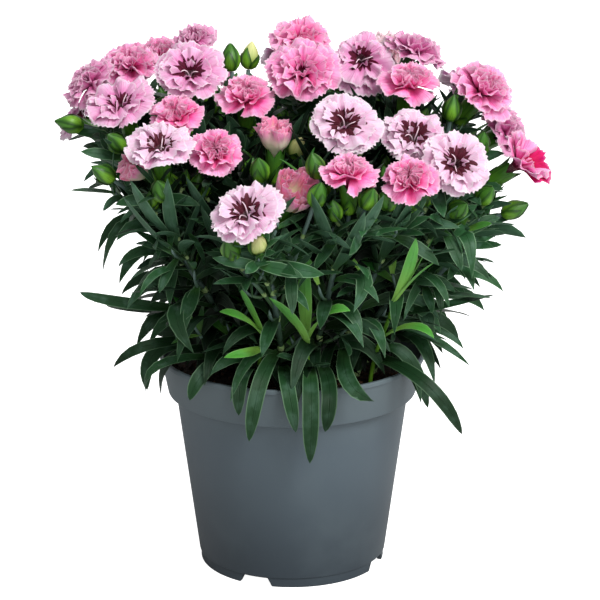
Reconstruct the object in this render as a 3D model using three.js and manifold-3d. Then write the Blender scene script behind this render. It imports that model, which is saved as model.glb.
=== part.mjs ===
// Dianthus (pot carnation) growing in a round plastic nursery pot.
//
// Millimetres, +Z up. The origin is on the pot's axis at the plane that it rests on, and -Y is the
// plant's front. The pot and the growing medium are turned solids. Each flowering stem is one green
// solid with its leaves, side stalks, calyces and closed buds, and each bloom is one solid of petals
// that sits in the mouth of its calyx.
import * as THREE from 'three';
import { mergeVertices } from 'three/addons/utils/BufferGeometryUtils.js';
import Module from 'manifold-3d';

const wasm = await Module();
wasm.setup();

// ---- Driving dimensions -------------------------------------------------------------------------

const GAP = 0.3; // between pieces that touch

const POT = {
  segments: 28,
  height: 107,
  rimRadius: 65,
  lipHeight: 2.3,
  bandTopRadius: 64.3,
  bandFootRadius: 60.8,
  bandFoot: 87.3,
  bodyTopRadius: 57.1,
  bodyFootRadius: 46.2,
  footHeight: 4.9,
  footRadius: 45.5,
  footInnerRadius: 43.2,
  floorUnder: 4,
  floorTop: 5.6,
  wall: 1.5,
  rimWall: 1.8,
  notchAzimuths: [67, 157, 247, 337],
  notchHeight: 4.3,
  notchReach: 4,
  notchTopWidth: 12.5,
  notchFootWidth: 17,
  drainHoles: 4,
  drainSides: 8,
  drainRadius: 4.5,
  drainCircle: 28,
};

const MEDIUM = { edge: 97, crown: 101, holeFloor: 88.5, holeDepth: 20, holeSlack: 3, holeSides: 4 };

// A stem's first head stands on its main axis, which ends at a share of the way to its heads, and the
// stalks of the others leave that axis one below the other. `rise` and `settle` are how much of its
// span the axis runs upright and then straight at its heads. `reach` is the same for both ends of a
// side stalk, and `follow` how far that stalk starts out along its axis.
const STALK = {
  mainRadius: 1.7, sideRadius: 1.2, sides: 5, top: 0.74, firstFork: 0.96, forkStep: 0.12,
  rise: 0.45, settle: 0.3, reach: 0.38, follow: 0.3,
  mainShares: [0, 0.25, 0.6, 1], sideShares: [0, 0.5, 1],
};

// Radius of a calyx and of a closed bud at distances from its foot.
const CALYX = { length: 17, profile: [[2.5, 3.6], [17, 4.8]] };
const BUD = { length: 17, profile: [[2, 3], [9, 4.2], [17, 0.6]] };

// Width of a leaf at its sections, from root to tip, as shares of its full width, and the shares of
// a paired leaf's length before and after its bend.
const BLADE = {
  keel: 1.3, rootKeel: 0.8, rootOffset: 0.4, clearance: 0.5, longLeaf: 54,
  shares: { 2: [0.3, 1, 0], 3: [0.3, 1, 0.85, 0] },
  beforeBend: 0.5, afterBend: 0.55,
};

// Height above the calyx mouth at which the petals spread, and the forms of bloom: where the centre
// of the petals lies as a share of the radius, the points round one petal, the whorls of five petals
// with their reach as a share of the radius and their lift, and the seams between the whorls, each
// at a rise above the throat.
const THROAT = 3;
const FORMS = {
  open: {
    centre: 0.16,
    points: 4,
    whorls: [{ reach: 1, lift: 8 }, { reach: 0.72, lift: 32 }],
    seams: [{ radius: 3.4, rise: 0.2 }],
  },
  double: {
    centre: 0.42,
    points: 3,
    whorls: [{ reach: 1.04, lift: 16 }, { reach: 0.98, lift: 42 }, { reach: 0.8, lift: 68 }],
    seams: [{ radius: 3.4, rise: 0.4 }, { radius: 2.2, rise: 1.8 }],
  },
  opening: {
    centre: 0.75,
    points: 3,
    whorls: [{ reach: 1.65, lift: 58 }, { reach: 1.7, lift: 76 }],
    seams: [{ radius: 2.6, rise: 2 }],
  },
};
const PETALS = 5;
const NECK = { radius: 4, rise: GAP - THROAT };
const HEART = 2.4; // height of the petals' heart above the throat
// Reach and extra lift of the points round one petal's outline, the notch between petals first.
const PETAL_OUTLINES = {
  4: [
    { reach: 0.76, lift: -5 }, { reach: 0.98, lift: 6 },
    { reach: 0.95, lift: -6 }, { reach: 1, lift: 6 },
  ],
  3: [{ reach: 0.74, lift: -4 }, { reach: 1, lift: 6 }, { reach: 0.95, lift: -4 }],
};

// A head is the centre of a bloom or bud, the way it faces (azimuth from +X, elevation), its form
// and a bloom's radius.
const bloom = (x, y, z, azimuth, elevation, form, radius) =>
  ({ centre: new THREE.Vector3(x, y, z), azimuth, elevation, form, radius });
const bud = (x, y, z, azimuth, elevation) =>
  ({ centre: new THREE.Vector3(x, y, z), azimuth, elevation, form: 'bud' });

// A leading leaf leaves its stem at a height, passes through a point and ends at its tip.
const leaf = (height, through, tip, width, roll = 0) => ({
  height, through: new THREE.Vector3(...through), tip: new THREE.Vector3(...tip), width, roll,
});

const STEMS = [
  {
    root: [-36, 10],
    heads: [
      bloom(-99.5, 8, 240.5, 200, 45, 'double', 14.5), bloom(-80, 35, 245, 245, 70, 'double', 16.5),
      bloom(-106, 42, 214, 165, 35, 'open', 16), bud(-107.5, -2, 220.7, 190, 12),
    ],
    leaves: [leaf(155, [-80, 2, 170], [-92, 0, 146], 7), leaf(122, [-76, 4, 126], [-91, 5, 128], 6.5)],
  },
  {
    root: [-18, 23],
    heads: [bloom(-67.4, 75, 242.1, 250, 66, 'double', 13.5), bloom(-49.2, 60, 252, 245, 66, 'double', 11)],
    leaves: [],
  },
  {
    root: [-20, -6],
    heads: [bloom(-48.2, -5, 247, 270, 48, 'open', 19.5), bloom(-54.3, -29.3, 232.3, 258, 58, 'double', 13)],
    leaves: [],
  },
  {
    root: [-33, -7],
    heads: [bloom(-81, -20, 234.8, 235, 62, 'open', 20), bud(-83, -31, 219, 235, 40)],
    leaves: [
      leaf(128, [-83, -15, 135], [-102, -15, 140.5], 7.5, 40),
      leaf(112, [-67, -28, 118], [-86, -25, 105.5], 6),
      leaf(108, [-63.5, -17, 112.5], [-70, -22, 93], 7.5),
    ],
  },
  {
    root: [-25, -20],
    heads: [
      bloom(-60.1, -58, 223.4, 265, 67, 'open', 19), bloom(-72.3, -48, 211.2, 210, 30, 'opening', 8),
      bud(-88.7, -40, 205.9, 215, 35), bud(-60.3, -60, 203.3, 255, 50),
    ],
    leaves: [
      leaf(135, [-54, -50, 142], [-45.4, -62, 124.4], 8.5, 20),
      leaf(108, [-60, -44, 114], [-69.2, -47, 100.1], 6),
      leaf(112, [-55, -33, 114], [-62.5, -36, 95], 7),
    ],
  },
  {
    root: [-13, -21],
    heads: [bloom(-34.7, -55, 220.4, 270, 45, 'double', 13)],
    leaves: [leaf(112, [-37, -46, 114], [-48, -55, 99], 7.5)],
  },
  {
    root: [-6, -6],
    heads: [
      bloom(-21.4, -11, 238.2, 270, 68, 'double', 14.3), bloom(-7.4, -35, 223.3, 280, 78, 'opening', 9),
      bud(-29.5, 20, 249.6, 110, 80), bud(-20, 26, 249.4, 60, 75), bud(3, -24, 214.8, 300, 55),
      bud(-14.6, -60, 213.1, 260, 60),
    ],
    leaves: [],
  },
  {
    root: [-4, -34],
    heads: [
      bloom(-20.4, -95, 201.5, 243, 53, 'open', 19.5), bloom(1.8, -72, 203.9, 300, 45, 'opening', 11),
      bud(-14.7, -92, 186, 280, 40), bud(-27.8, -90, 183.5, 250, 45), bud(12.1, -85, 207.7, 300, 60),
    ],
    leaves: [
      leaf(110, [-2, -67, 111], [2, -72, 89], 7), leaf(118, [-14, -66, 113], [-19.8, -73, 84.9], 7.5),
      leaf(165, [10, -66, 181], [26, -72, 176], 7),
    ],
  },
  {
    root: [2, 8],
    heads: [bloom(5.3, -5, 246.8, 270, 48, 'open', 19.8), bloom(3.9, 45, 253, 268, 60, 'open', 17)],
    leaves: [],
  },
  {
    root: [16, 17],
    heads: [
      bloom(33.9, 25, 247, 278, 30, 'open', 15), bloom(47.9, 65, 245.5, 270, 62, 'double', 13),
      bud(22.7, 48, 234, 120, 75),
    ],
    leaves: [],
  },
  {
    root: [23, 5],
    heads: [bloom(61.4, 35, 252, 15, 66, 'double', 16.5), bloom(56.1, 0, 242.6, 285, 66, 'double', 15)],
    leaves: [],
  },
  {
    root: [9, -17],
    heads: [bloom(24.8, -45, 230.8, 275, 44, 'open', 19.5)],
    leaves: [],
  },
  {
    root: [11, -34],
    heads: [
      bloom(26, -80, 218, 270, 70, 'double', 13.5),
      bud(10.4, -70, 217.4, 240, 65), bud(35.4, -85, 205.8, 290, 50),
    ],
    leaves: [
      leaf(160, [32, -70, 181], [53, -75, 188], 7), leaf(150, [33, -66, 164], [28.4, -73, 147.7], 9),
      leaf(112, [17.5, -67, 109.5], [15.5, -74, 90], 7.5),
    ],
  },
  {
    root: [22, -22],
    heads: [
      bloom(56.8, -41, 223.9, 278, 52, 'open', 17.5), bloom(53.2, -75, 212.6, 265, 50, 'double', 13),
      bud(42.5, -72, 201.5, 250, 40),
    ],
    leaves: [leaf(120, [26, -66, 113], [38.5, -71, 104], 8)],
  },
  {
    root: [31, -15],
    heads: [bloom(75.6, -57, 214.6, 283, 32, 'open', 18), bud(78, -52, 192, 300, 30)],
    leaves: [leaf(128, [74, -33, 139], [96.4, -32, 144.2], 7), leaf(108, [60, -53, 109], [80.8, -52, 81], 8)],
  },
  {
    root: [36, 2],
    heads: [
      bloom(93, -5, 240.7, 325, 52, 'double', 18),
      bloom(107, 10, 215.5, 340, 30, 'double', 15),
      bud(76.1, -10, 231.2, 300, 75), bud(89.4, -20, 216, 290, 60),
    ],
    leaves: [leaf(165, [82, -8, 180], [98, -6, 170], 6.5), leaf(114, [66, -2, 120], [84, -4, 108], 7)],
  },
  {
    root: [39, -10],
    heads: [
      bloom(107, -25, 206.5, 340, 36, 'open', 17),
      bud(91.6, -35, 194.6, 300, 40), bud(107.2, -20, 183.5, 350, 25),
    ],
    leaves: [leaf(150, [80, -40, 176], [84, -50, 157], 8), leaf(112, [60, -11, 116], [72, -13, 101], 7)],
  },
  {
    root: [-27, 37],
    heads: [bloom(-92, 71, 219, 145, 40, 'open', 17), bloom(-45, 94, 228, 110, 45, 'double', 14)],
    leaves: [],
  },
  {
    root: [8, 38],
    heads: [bloom(0, 97, 232, 90, 45, 'open', 18), bloom(45, 94, 230, 75, 45, 'double', 14)],
    leaves: [],
  },
  {
    root: [36, 22],
    heads: [bloom(88, 70, 222, 45, 45, 'open', 17), bloom(105, 38, 212, 20, 35, 'double', 14)],
    leaves: [],
  },
];

// A young shoot has no heads: it stands on its root and ends at its top, among its leading leaves.
const SHOOTS = [
  {
    root: [9, -45],
    top: [6.8, -50, 127.5],
    leaves: [
      leaf(126, [6, -55, 150], [6, -58, 170], 7), leaf(124, [1, -68, 142], [-10.5, -76, 156], 7.5),
      leaf(125, [16, -66, 145], [27, -75, 149], 7), leaf(110, [1, -58, 120], [-7, -64, 124], 6),
      leaf(112, [12, -60, 118], [18, -67, 121], 6), leaf(114, [9, -73, 106], [8.5, -77, 75.5], 8),
    ],
  },
  {
    root: [37, -31],
    top: [48, -47, 145],
    leaves: [
      leaf(144, [54, -58, 163], [57, -65, 181], 6.5), leaf(143, [57, -53, 158], [67.5, -60, 169], 7.5),
      leaf(142, [59, -46, 163], [66, -48, 177], 6), leaf(124, [56, -57, 136], [66, -66, 133], 7),
      leaf(115, [54, -39, 116], [65, -40, 90], 7.5),
    ],
  },
  {
    root: [-18, -38],
    top: [-12.5, -57, 131],
    leaves: [
      leaf(130, [-22, -67, 143], [-33, -76, 149], 6.5), leaf(129, [-19, -63, 146], [-24, -67, 158], 6),
      leaf(124, [-21, -68, 126.5], [-31, -79, 128], 6.5), leaf(110, [-26, -55, 120], [-38, -62, 114], 7),
      leaf(109, [-23, -62, 113], [-24.5, -71, 97], 7),
    ],
  },
];

// Leaf pairs up a flowering stem: the lowest and the highest pair, with what lies between in steps.
// Their lengths vary by `vary` either way, and `lean` is how far in degrees a leaf stands off its
// pair's line, where `leanDroop` degrees lift its outer part by as much as one of `droop`. A leaf
// that would cross another piece is tried at each of `turns` and then at each of `scales`.
const FOLIAGE = {
  pairs: 4,
  first: 0.1,
  last: 0.92,
  low: { length: 58, width: 8.5, spread: 48, droop: -1.1 },
  high: { length: 32, width: 6, spread: 42, droop: 0.3 },
  vary: 0.2,
  lean: 15,
  leanDroop: 40,
  turns: [0, 35],
  scales: [1, 0.75],
  seed: 20260,
};

const FINISHES = {
  pot: { color: 0x5f6a71, roughness: 0.45 },
  medium: { color: 0x2a1c15, roughness: 0.95 },
  stem: { color: 0x4f6b4a, roughness: 0.6 },
  shoot: { color: 0x4c9a2e, roughness: 0.6 },
  open: { color: 0xe9bcd8, roughness: 0.6 },
  double: { color: 0xe486ae, roughness: 0.6 },
  opening: { color: 0xf0b9bd, roughness: 0.6 },
};

// ---- Small helpers ------------------------------------------------------------------------------

const UP = new THREE.Vector3(0, 0, 1);

/** Unit vector from an azimuth and an elevation in degrees. */
function direction(azimuth, elevation) {
  const turn = THREE.MathUtils.degToRad(azimuth);
  const lift = THREE.MathUtils.degToRad(elevation);
  return new THREE.Vector3(Math.cos(lift) * Math.cos(turn), Math.cos(lift) * Math.sin(turn), Math.sin(lift));
}

/** Seeded draws between 0 and 1. */
function drawsFrom(seed) {
  let state = seed;
  return () => {
    state = (state * 1664525 + 1013904223) % 4294967296;
    return state / 4294967296;
  };
}

/** Closed solid of a geometry whose shared vertices are merged. */
function solidOf(geometry) {
  const bare = geometry.clone();
  bare.deleteAttribute('normal');
  bare.deleteAttribute('uv');
  const welded = mergeVertices(bare, 1e-4);
  const corners = welded.index.array;
  const triangles = [];
  for (let i = 0; i < corners.length; i += 3) {
    const [a, b, c] = [corners[i], corners[i + 1], corners[i + 2]];
    if (a !== b && b !== c && c !== a) triangles.push(a, b, c);
  }
  return new wasm.Manifold(new wasm.Mesh({
    numProp: 3,
    vertProperties: new Float32Array(welded.attributes.position.array),
    triVerts: new Uint32Array(triangles),
  }));
}

/** Named mesh of a solid. */
function meshOf(name, solid, finish) {
  const { vertProperties, triVerts, numProp } = solid.getMesh();
  const geometry = new THREE.BufferGeometry();
  const positions = new Float32Array((vertProperties.length / numProp) * 3);
  for (let i = 0; i < positions.length / 3; i += 1) {
    positions.set(vertProperties.subarray(i * numProp, i * numProp + 3), i * 3);
  }
  geometry.setAttribute('position', new THREE.BufferAttribute(positions, 3));
  geometry.setIndex(Array.from(triVerts));
  const mesh = new THREE.Mesh(geometry, new THREE.MeshStandardMaterial({ ...finish, metalness: 0 }));
  mesh.name = name;
  return mesh;
}

/** One solid of several that touch. */
const joined = (solids) => solids.reduce((whole, piece) => whole.add(piece));

/** Moves each vertex of a geometry by a rule. */
function reshape(geometry, rule) {
  const position = geometry.attributes.position;
  const vertex = new THREE.Vector3();
  for (let i = 0; i < position.count; i += 1) {
    vertex.fromBufferAttribute(position, i);
    rule(vertex);
    position.setXYZ(i, vertex.x, vertex.y, vertex.z);
  }
  return geometry;
}

/** Solid of revolution about +Z from [radius, height] pairs. */
function turned(profile, segments) {
  const points = profile.map(([radius, height]) => new THREE.Vector2(radius, height));
  return new THREE.LatheGeometry(points, segments).rotateX(Math.PI / 2);
}

/** Sets a geometry that stands on +Z at a place, facing a direction. */
function placed(geometry, at, facing) {
  return geometry
    .applyQuaternion(new THREE.Quaternion().setFromUnitVectors(UP, facing))
    .translate(at.x, at.y, at.z);
}

/** Tapering limb through stations, each a place, the way that the limb runs there, and its radius. */
function limb(stations) {
  const steps = stations.length - 1;
  const rod = new THREE.CylinderGeometry(1, 1, 1, STALK.sides, steps);
  const sideways = new THREE.Vector3(1, 0.2, 0);
  return solidOf(reshape(rod, (vertex) => {
    const { at, along, radius } = stations[Math.round((vertex.y + 0.5) * steps)];
    const across = sideways.clone().projectOnPlane(along).normalize();
    const above = new THREE.Vector3().crossVectors(along, across);
    const { x, z } = vertex;
    vertex.copy(at).addScaledVector(across, radius * z).addScaledVector(above, radius * x);
  }));
}

/** Stations along a curve at shares of it. */
const stationsOf = (curve, shares, radius) => shares.map((share) => ({
  at: curve.getPoint(share), along: curve.getTangent(share), radius,
}));

/** Point at a share of a main axis, on the straight stretch between its stations. */
function onAxis(main, share) {
  const shares = STALK.mainShares;
  const after = Math.max(1, shares.findIndex((station) => station >= share));
  const part = (share - shares[after - 1]) / (shares[after] - shares[after - 1]);
  return main.getPoint(shares[after - 1]).lerp(main.getPoint(shares[after]), part);
}

// ---- Pot and growing medium ---------------------------------------------------------------------

/** Inner radius of the pot at a height, above the ledge where the rim band steps out. */
const bandInside = (height) => THREE.MathUtils.mapLinear(
  height, POT.bandFoot, POT.height, POT.bandFootRadius - POT.wall, POT.rimRadius - POT.rimWall,
);

function makePot() {
  const ledge = POT.bandFoot + POT.wall;
  let pot = solidOf(turned([
    [0, POT.floorUnder], [POT.footInnerRadius, POT.floorUnder], [POT.footInnerRadius, 0],
    [POT.footRadius, 0], [POT.footRadius, POT.footHeight], [POT.bodyFootRadius, POT.footHeight],
    [POT.bodyTopRadius, POT.bandFoot], [POT.bandFootRadius, POT.bandFoot],
    [POT.bandTopRadius, POT.height - POT.lipHeight], [POT.rimRadius, POT.height - POT.lipHeight],
    [POT.rimRadius, POT.height], [bandInside(POT.height), POT.height],
    [bandInside(ledge), ledge], [POT.bodyTopRadius - POT.wall, ledge],
    [POT.bodyFootRadius - POT.wall, POT.floorTop], [0, POT.floorTop],
  ], POT.segments));
  for (const azimuth of POT.notchAzimuths) {
    const block = new THREE.BoxGeometry(2 * POT.notchReach, 1, 2 * POT.notchHeight);
    const notch = reshape(block, (corner) => {
      corner.y *= THREE.MathUtils.mapLinear(
        corner.z, 0, POT.notchHeight, POT.notchFootWidth, POT.notchTopWidth,
      );
    });
    notch.translate(POT.footRadius, 0, 0).rotateZ(THREE.MathUtils.degToRad(azimuth));
    pot = pot.subtract(solidOf(notch));
  }
  for (let i = 0; i < POT.drainHoles; i += 1) {
    const turn = (2 * Math.PI * i) / POT.drainHoles;
    const depth = 2 * POT.floorTop;
    const hole = new THREE.CylinderGeometry(POT.drainRadius, POT.drainRadius, depth, POT.drainSides)
      .rotateX(Math.PI / 2)
      .translate(POT.drainCircle * Math.cos(turn), POT.drainCircle * Math.sin(turn), POT.floorTop);
    pot = pot.subtract(solidOf(hole));
  }
  return pot;
}

function makeMedium(roots) {
  const ledge = POT.bandFoot + POT.wall;
  const inner = POT.bodyTopRadius - POT.wall - GAP;
  let plug = solidOf(turned([
    [0, POT.floorTop + GAP], [POT.bodyFootRadius - POT.wall - GAP, POT.floorTop + GAP],
    [inner, ledge], [inner, ledge + GAP], [bandInside(ledge) - GAP, ledge + GAP],
    [bandInside(MEDIUM.edge) - GAP, MEDIUM.edge], [0, MEDIUM.crown],
  ], POT.segments));
  const radius = STALK.mainRadius + MEDIUM.holeSlack;
  for (const [x, y] of roots) {
    const hole = new THREE.CylinderGeometry(radius, radius, MEDIUM.holeDepth, MEDIUM.holeSides)
      .rotateX(Math.PI / 2)
      .translate(x, y, MEDIUM.holeFloor + MEDIUM.holeDepth / 2);
    plug = plug.subtract(solidOf(hole));
  }
  return plug;
}

// ---- Green pieces -------------------------------------------------------------------------------

/**
 * Leaf along a curve: three-sided in section, flat above and keeled below, widest near its middle.
 * `across` is the unit vector from edge to edge, and `extra` thickens the blade on every side.
 */
function blade(curve, across, width, extra = 0) {
  const sections = curve.getLength() > BLADE.longLeaf ? 3 : 2;
  const keels = [BLADE.rootKeel, ...Array(sections).fill(BLADE.keel)];
  const shares = BLADE.shares[sections];
  const cone = new THREE.ConeGeometry(1, 1, 3, sections);
  reshape(cone, (vertex) => {
    const section = Math.round((vertex.y + 0.5) * sections);
    const along = section / sections;
    const onAxis = Math.hypot(vertex.x, vertex.z) < 1e-6;
    const turn = Math.atan2(vertex.x, vertex.z);
    const tangent = curve.getTangent(along);
    const above = new THREE.Vector3().crossVectors(tangent, across).normalize();
    const half = (width * shares[section]) / 2 + extra;
    vertex.copy(curve.getPoint(along));
    if (onAxis) return;
    if (Math.abs(turn) < 0.1) vertex.addScaledVector(above, -(keels[section] + extra));
    else vertex.addScaledVector(across, Math.sign(turn) * half).addScaledVector(above, extra);
  });
  return solidOf(cone);
}

/** Where a head's calyx or bud starts, and its mouth. */
function seatOf(head) {
  const facing = direction(head.azimuth, head.elevation);
  if (head.form === 'bud') {
    return { facing, foot: head.centre.clone().addScaledVector(facing, -BUD.length / 2) };
  }
  const rise = THROAT + FORMS[head.form].centre * head.radius;
  const mouth = head.centre.clone().addScaledVector(facing, -rise);
  return { facing, mouth, foot: mouth.clone().addScaledVector(facing, -CALYX.length) };
}

/** Main axis of a flowering stem, and the curve of each head's stalk from it. */
function axesOf(stem) {
  const heads = stem.heads ?? [];
  const seats = heads.map(seatOf);
  const root = new THREE.Vector3(stem.root[0], stem.root[1], MEDIUM.holeFloor + GAP);
  const centre = stem.top ? new THREE.Vector3(...stem.top) : new THREE.Vector3();
  for (const seat of seats) centre.addScaledVector(seat.foot, 1 / seats.length);
  const top = stem.top ? centre.clone() : root.clone().lerp(centre, STALK.top);
  const span = top.distanceTo(root);
  const heading = centre.clone().sub(root).normalize();
  const upright = root.clone().addScaledVector(UP, STALK.rise * span);
  const settled = top.clone().addScaledVector(heading, -STALK.settle * span);
  const main = new THREE.CubicBezierCurve3(root, upright, settled, top);
  const stalks = seats.map(({ foot, facing }, i) => {
    const leave = i === 0 ? 1 : STALK.firstFork - STALK.forkStep * (i - 1);
    const start = onAxis(main, leave);
    const reach = STALK.reach * foot.distanceTo(start);
    const follow = i === 0 ? 1 : STALK.follow;
    const outset = foot.clone().sub(start).normalize().lerp(main.getTangent(leave), follow).normalize();
    return new THREE.CubicBezierCurve3(
      start, start.clone().addScaledVector(outset, reach), foot.clone().addScaledVector(facing, -reach), foot,
    );
  });
  return { main, stalks, seats };
}

/** Stem, side stalks, calyces and buds, with no leaf yet. */
function bareStem(stem) {
  const { main, stalks, seats } = axesOf(stem);
  if (stem.top) return limb(stationsOf(main, STALK.mainShares, STALK.sideRadius));
  const limbs = stem.heads.map((head, i) => {
    const { foot, facing } = seats[i];
    const { profile } = head.form === 'bud' ? BUD : CALYX;
    const lead = i === 0 ? stationsOf(main, STALK.mainShares.slice(0, -1), STALK.mainRadius) : [];
    const stalk = stationsOf(stalks[i], STALK.sideShares, STALK.sideRadius);
    const swelling = profile.map(([distance, radius]) => ({
      at: foot.clone().addScaledVector(facing, distance), along: facing, radius,
    }));
    return limb([...lead, ...stalk, ...swelling]);
  });
  return joined(limbs);
}

/** Curve and width of a leading leaf. */
function leadingLeaf(main, { height, through, tip, width, roll }) {
  let low = 0;
  let high = 1;
  for (let i = 0; i < 30; i += 1) {
    const middle = (low + high) / 2;
    if (onAxis(main, middle).z < height) low = middle;
    else high = middle;
  }
  const from = onAxis(main, low);
  const aside = through.clone().sub(from).projectOnPlane(main.getTangent(low)).normalize();
  from.addScaledVector(aside, BLADE.rootOffset);
  const bend = through.clone().multiplyScalar(2).addScaledVector(from, -0.5).addScaledVector(tip, -0.5);
  const curve = new THREE.QuadraticBezierCurve3(from, bend, tip);
  const chord = tip.clone().sub(from).normalize();
  const across = new THREE.Vector3(-chord.y, chord.x, 0).normalize();
  across.applyAxisAngle(chord, THREE.MathUtils.degToRad(roll));
  return { curve, across, width };
}

/** Curve and width of one leaf of a pair: it spreads from the stem, then rises or droops. */
function pairedLeaf(main, along, azimuth, { length, width, spread, droop }) {
  const from = onAxis(main, along);
  const tangent = main.getTangent(along);
  const aside = direction(azimuth, 0).projectOnPlane(tangent).normalize();
  from.addScaledVector(aside, BLADE.rootOffset);
  const angle = THREE.MathUtils.degToRad(spread);
  const bend = from.clone()
    .addScaledVector(tangent, Math.cos(angle) * BLADE.beforeBend * length)
    .addScaledVector(aside, Math.sin(angle) * BLADE.beforeBend * length);
  const outward = direction(azimuth, 0).addScaledVector(UP, droop).normalize();
  const tip = bend.clone().addScaledVector(outward, BLADE.afterBend * length);
  const across = direction(azimuth + 90, 0);
  return { curve: new THREE.QuadraticBezierCurve3(from, bend, tip), across, width };
}

// ---- Blooms -------------------------------------------------------------------------------------

/**
 * Petals of one bloom on a neck in the calyx mouth: a turned solid whose outline runs out to each
 * whorl's rim and back to the seam above it. Each rim is drawn in between its petals and waved, and
 * each whorl is set half a petal round from the one below.
 */
function makeBloom(head, roll) {
  const { centre, points, whorls, seams } = FORMS[head.form];
  const outline = PETAL_OUTLINES[points];
  const count = PETALS * points;
  const rings = [NECK];
  whorls.forEach((rule, i) => {
    rings.push({ whorl: rule, shift: i * Math.floor(points / 2) });
    if (seams[i]) rings.push(seams[i]);
  });
  const profile = [[0, 0], ...rings.map((ring, i) => [1, i + 1]), [0, rings.length + 1]];
  const shape = reshape(turned(profile, count), (vertex) => {
    const level = Math.round(vertex.z);
    if (level === 0) return vertex.set(0, 0, GAP);
    if (level > rings.length) return vertex.set(0, 0, THROAT + HEART + centre);
    const turn = Math.atan2(vertex.y, vertex.x) / (2 * Math.PI);
    const step = (Math.round(turn * count) + count) % count;
    const azimuth = (2 * Math.PI * step) / count + roll;
    const { whorl: rule, shift, radius, rise: above } = rings[level - 1];
    if (!rule) return vertex.set(radius * Math.cos(azimuth), radius * Math.sin(azimuth), THROAT + above);
    const point = outline[(step + shift) % points];
    const rise = THREE.MathUtils.degToRad(rule.lift + point.lift);
    const out = head.radius * rule.reach * point.reach;
    const across = out * Math.cos(rise);
    return vertex.set(across * Math.cos(azimuth), across * Math.sin(azimuth), THROAT + out * Math.sin(rise));
  });
  const { facing, mouth } = seatOf(head);
  return solidOf(placed(shape, mouth, facing));
}

// ---- The plant ----------------------------------------------------------------------------------

const twoDigits = (number) => String(number).padStart(2, '0');

/** Says whether a solid stays clear of all the others given. */
function staysClear(candidate, others) {
  const box = candidate.boundingBox();
  return others.every(({ solid, bounds }) => {
    for (let i = 0; i < 3; i += 1) {
      if (box.min[i] > bounds.max[i] || box.max[i] < bounds.min[i]) return true;
    }
    return candidate.intersect(solid).isEmpty();
  });
}

const entry = (owner, solid) => ({ owner, solid, bounds: solid.boundingBox() });

const plant = new THREE.Group();
const pot = makePot();
const medium = makeMedium([...STEMS, ...SHOOTS].map(({ root }) => root));
plant.add(meshOf('pot', pot, FINISHES.pot));
plant.add(meshOf('growing_medium', medium, FINISHES.medium));

const standing = [entry('pot', pot), entry('growing_medium', medium)];
let bloomNumber = 0;
const named = (prefix, stems) => stems.map((stem, i) => (
  { ...stem, name: `${prefix}_${twoDigits(i + 1)}` }
));
const greens = [...named('stem', STEMS), ...named('shoot', SHOOTS)];
for (const head of STEMS.flatMap(({ heads }) => heads).filter(({ form }) => form !== 'bud')) {
  bloomNumber += 1;
  const draw = drawsFrom(FOLIAGE.seed + bloomNumber);
  draw();
  const petals = makeBloom(head, draw() * 2 * Math.PI);
  const name = `bloom_${twoDigits(bloomNumber)}`;
  plant.add(meshOf(name, petals, FINISHES[head.form]));
  standing.push(entry(name, petals));
}
for (const stem of greens) {
  stem.solid = bareStem(stem);
  standing.push(entry(stem.name, stem.solid));
}

/** What a leaf pair's rule comes to at a share of the way from the lowest pair to the highest. */
function pairRule(share) {
  const between = (size) => THREE.MathUtils.lerp(FOLIAGE.low[size], FOLIAGE.high[size], share);
  return {
    length: between('length'), width: between('width'),
    spread: between('spread'), droop: between('droop'),
  };
}

/** Joins a stem's leaves to it, each bent clear of every other piece, or left out. */
function dress(stem, index) {
  const { name, solid } = stem;
  const { main } = axesOf(stem);
  const others = standing.filter(({ owner }) => owner !== name);
  const kept = [];
  const tryLeaf = ({ curve, across, width }, mayTouch) => {
    const own = kept.filter((piece) => !mayTouch.includes(piece));
    const wide = blade(curve, across, width, BLADE.clearance);
    if (!staysClear(wide, [...others, ...own])) return null;
    const piece = entry(name, blade(curve, across, width));
    kept.push(piece);
    return piece;
  };
  const tryPaired = (along, azimuth, rule, partner) => {
    for (const scale of FOLIAGE.scales) {
      for (const turn of FOLIAGE.turns) {
        const option = pairedLeaf(main, along, azimuth + turn, { ...rule, length: rule.length * scale });
        const piece = tryLeaf(option, [partner]);
        if (piece) return piece;
      }
    }
    return null;
  };
  for (const plan of stem.leaves) tryLeaf(leadingLeaf(main, plan), kept);
  const draw = drawsFrom(FOLIAGE.seed + 97 * index);
  draw();
  const start = draw() * 180;
  for (let level = 0; level < (stem.top ? 0 : FOLIAGE.pairs); level += 1) {
    const share = level / (FOLIAGE.pairs - 1);
    const along = THREE.MathUtils.lerp(FOLIAGE.first, FOLIAGE.last, share);
    let partner = null;
    for (const side of [0, 180]) {
      const rule = pairRule(share);
      rule.length *= THREE.MathUtils.lerp(1 - FOLIAGE.vary, 1 + FOLIAGE.vary, draw());
      const lean = THREE.MathUtils.lerp(-FOLIAGE.lean, FOLIAGE.lean, draw());
      rule.droop += lean / FOLIAGE.leanDroop;
      partner = tryPaired(along, start + 90 * level + side + lean, rule, partner);
    }
  }
  for (const piece of kept) standing.push(piece);
  return joined([solid, ...kept.map((piece) => piece.solid)]);
}

greens.forEach((stem, i) => {
  plant.add(meshOf(stem.name, dress(stem, i), stem.top ? FINISHES.shoot : FINISHES.stem));
});

export default plant;
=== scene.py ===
"""Dianthus in a round plastic nursery pot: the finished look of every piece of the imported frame.

Lengths are millimetres until a mesh is finished. +Z is up, -Y is the plant's front, and the origin is
on the pot's axis at the plane that it rests on. The curves of the stems and leaves are those of the
frame's own solids, so that each finer piece stays where its solid is.
"""
from __future__ import annotations

import logging
import math
from collections.abc import Callable
from dataclasses import dataclass, field
from enum import Enum, IntEnum
from functools import cached_property

import bmesh
import bpy
from mathutils import Matrix, Quaternion, Vector, kdtree, noise
from mathutils.bvhtree import BVHTree

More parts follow.
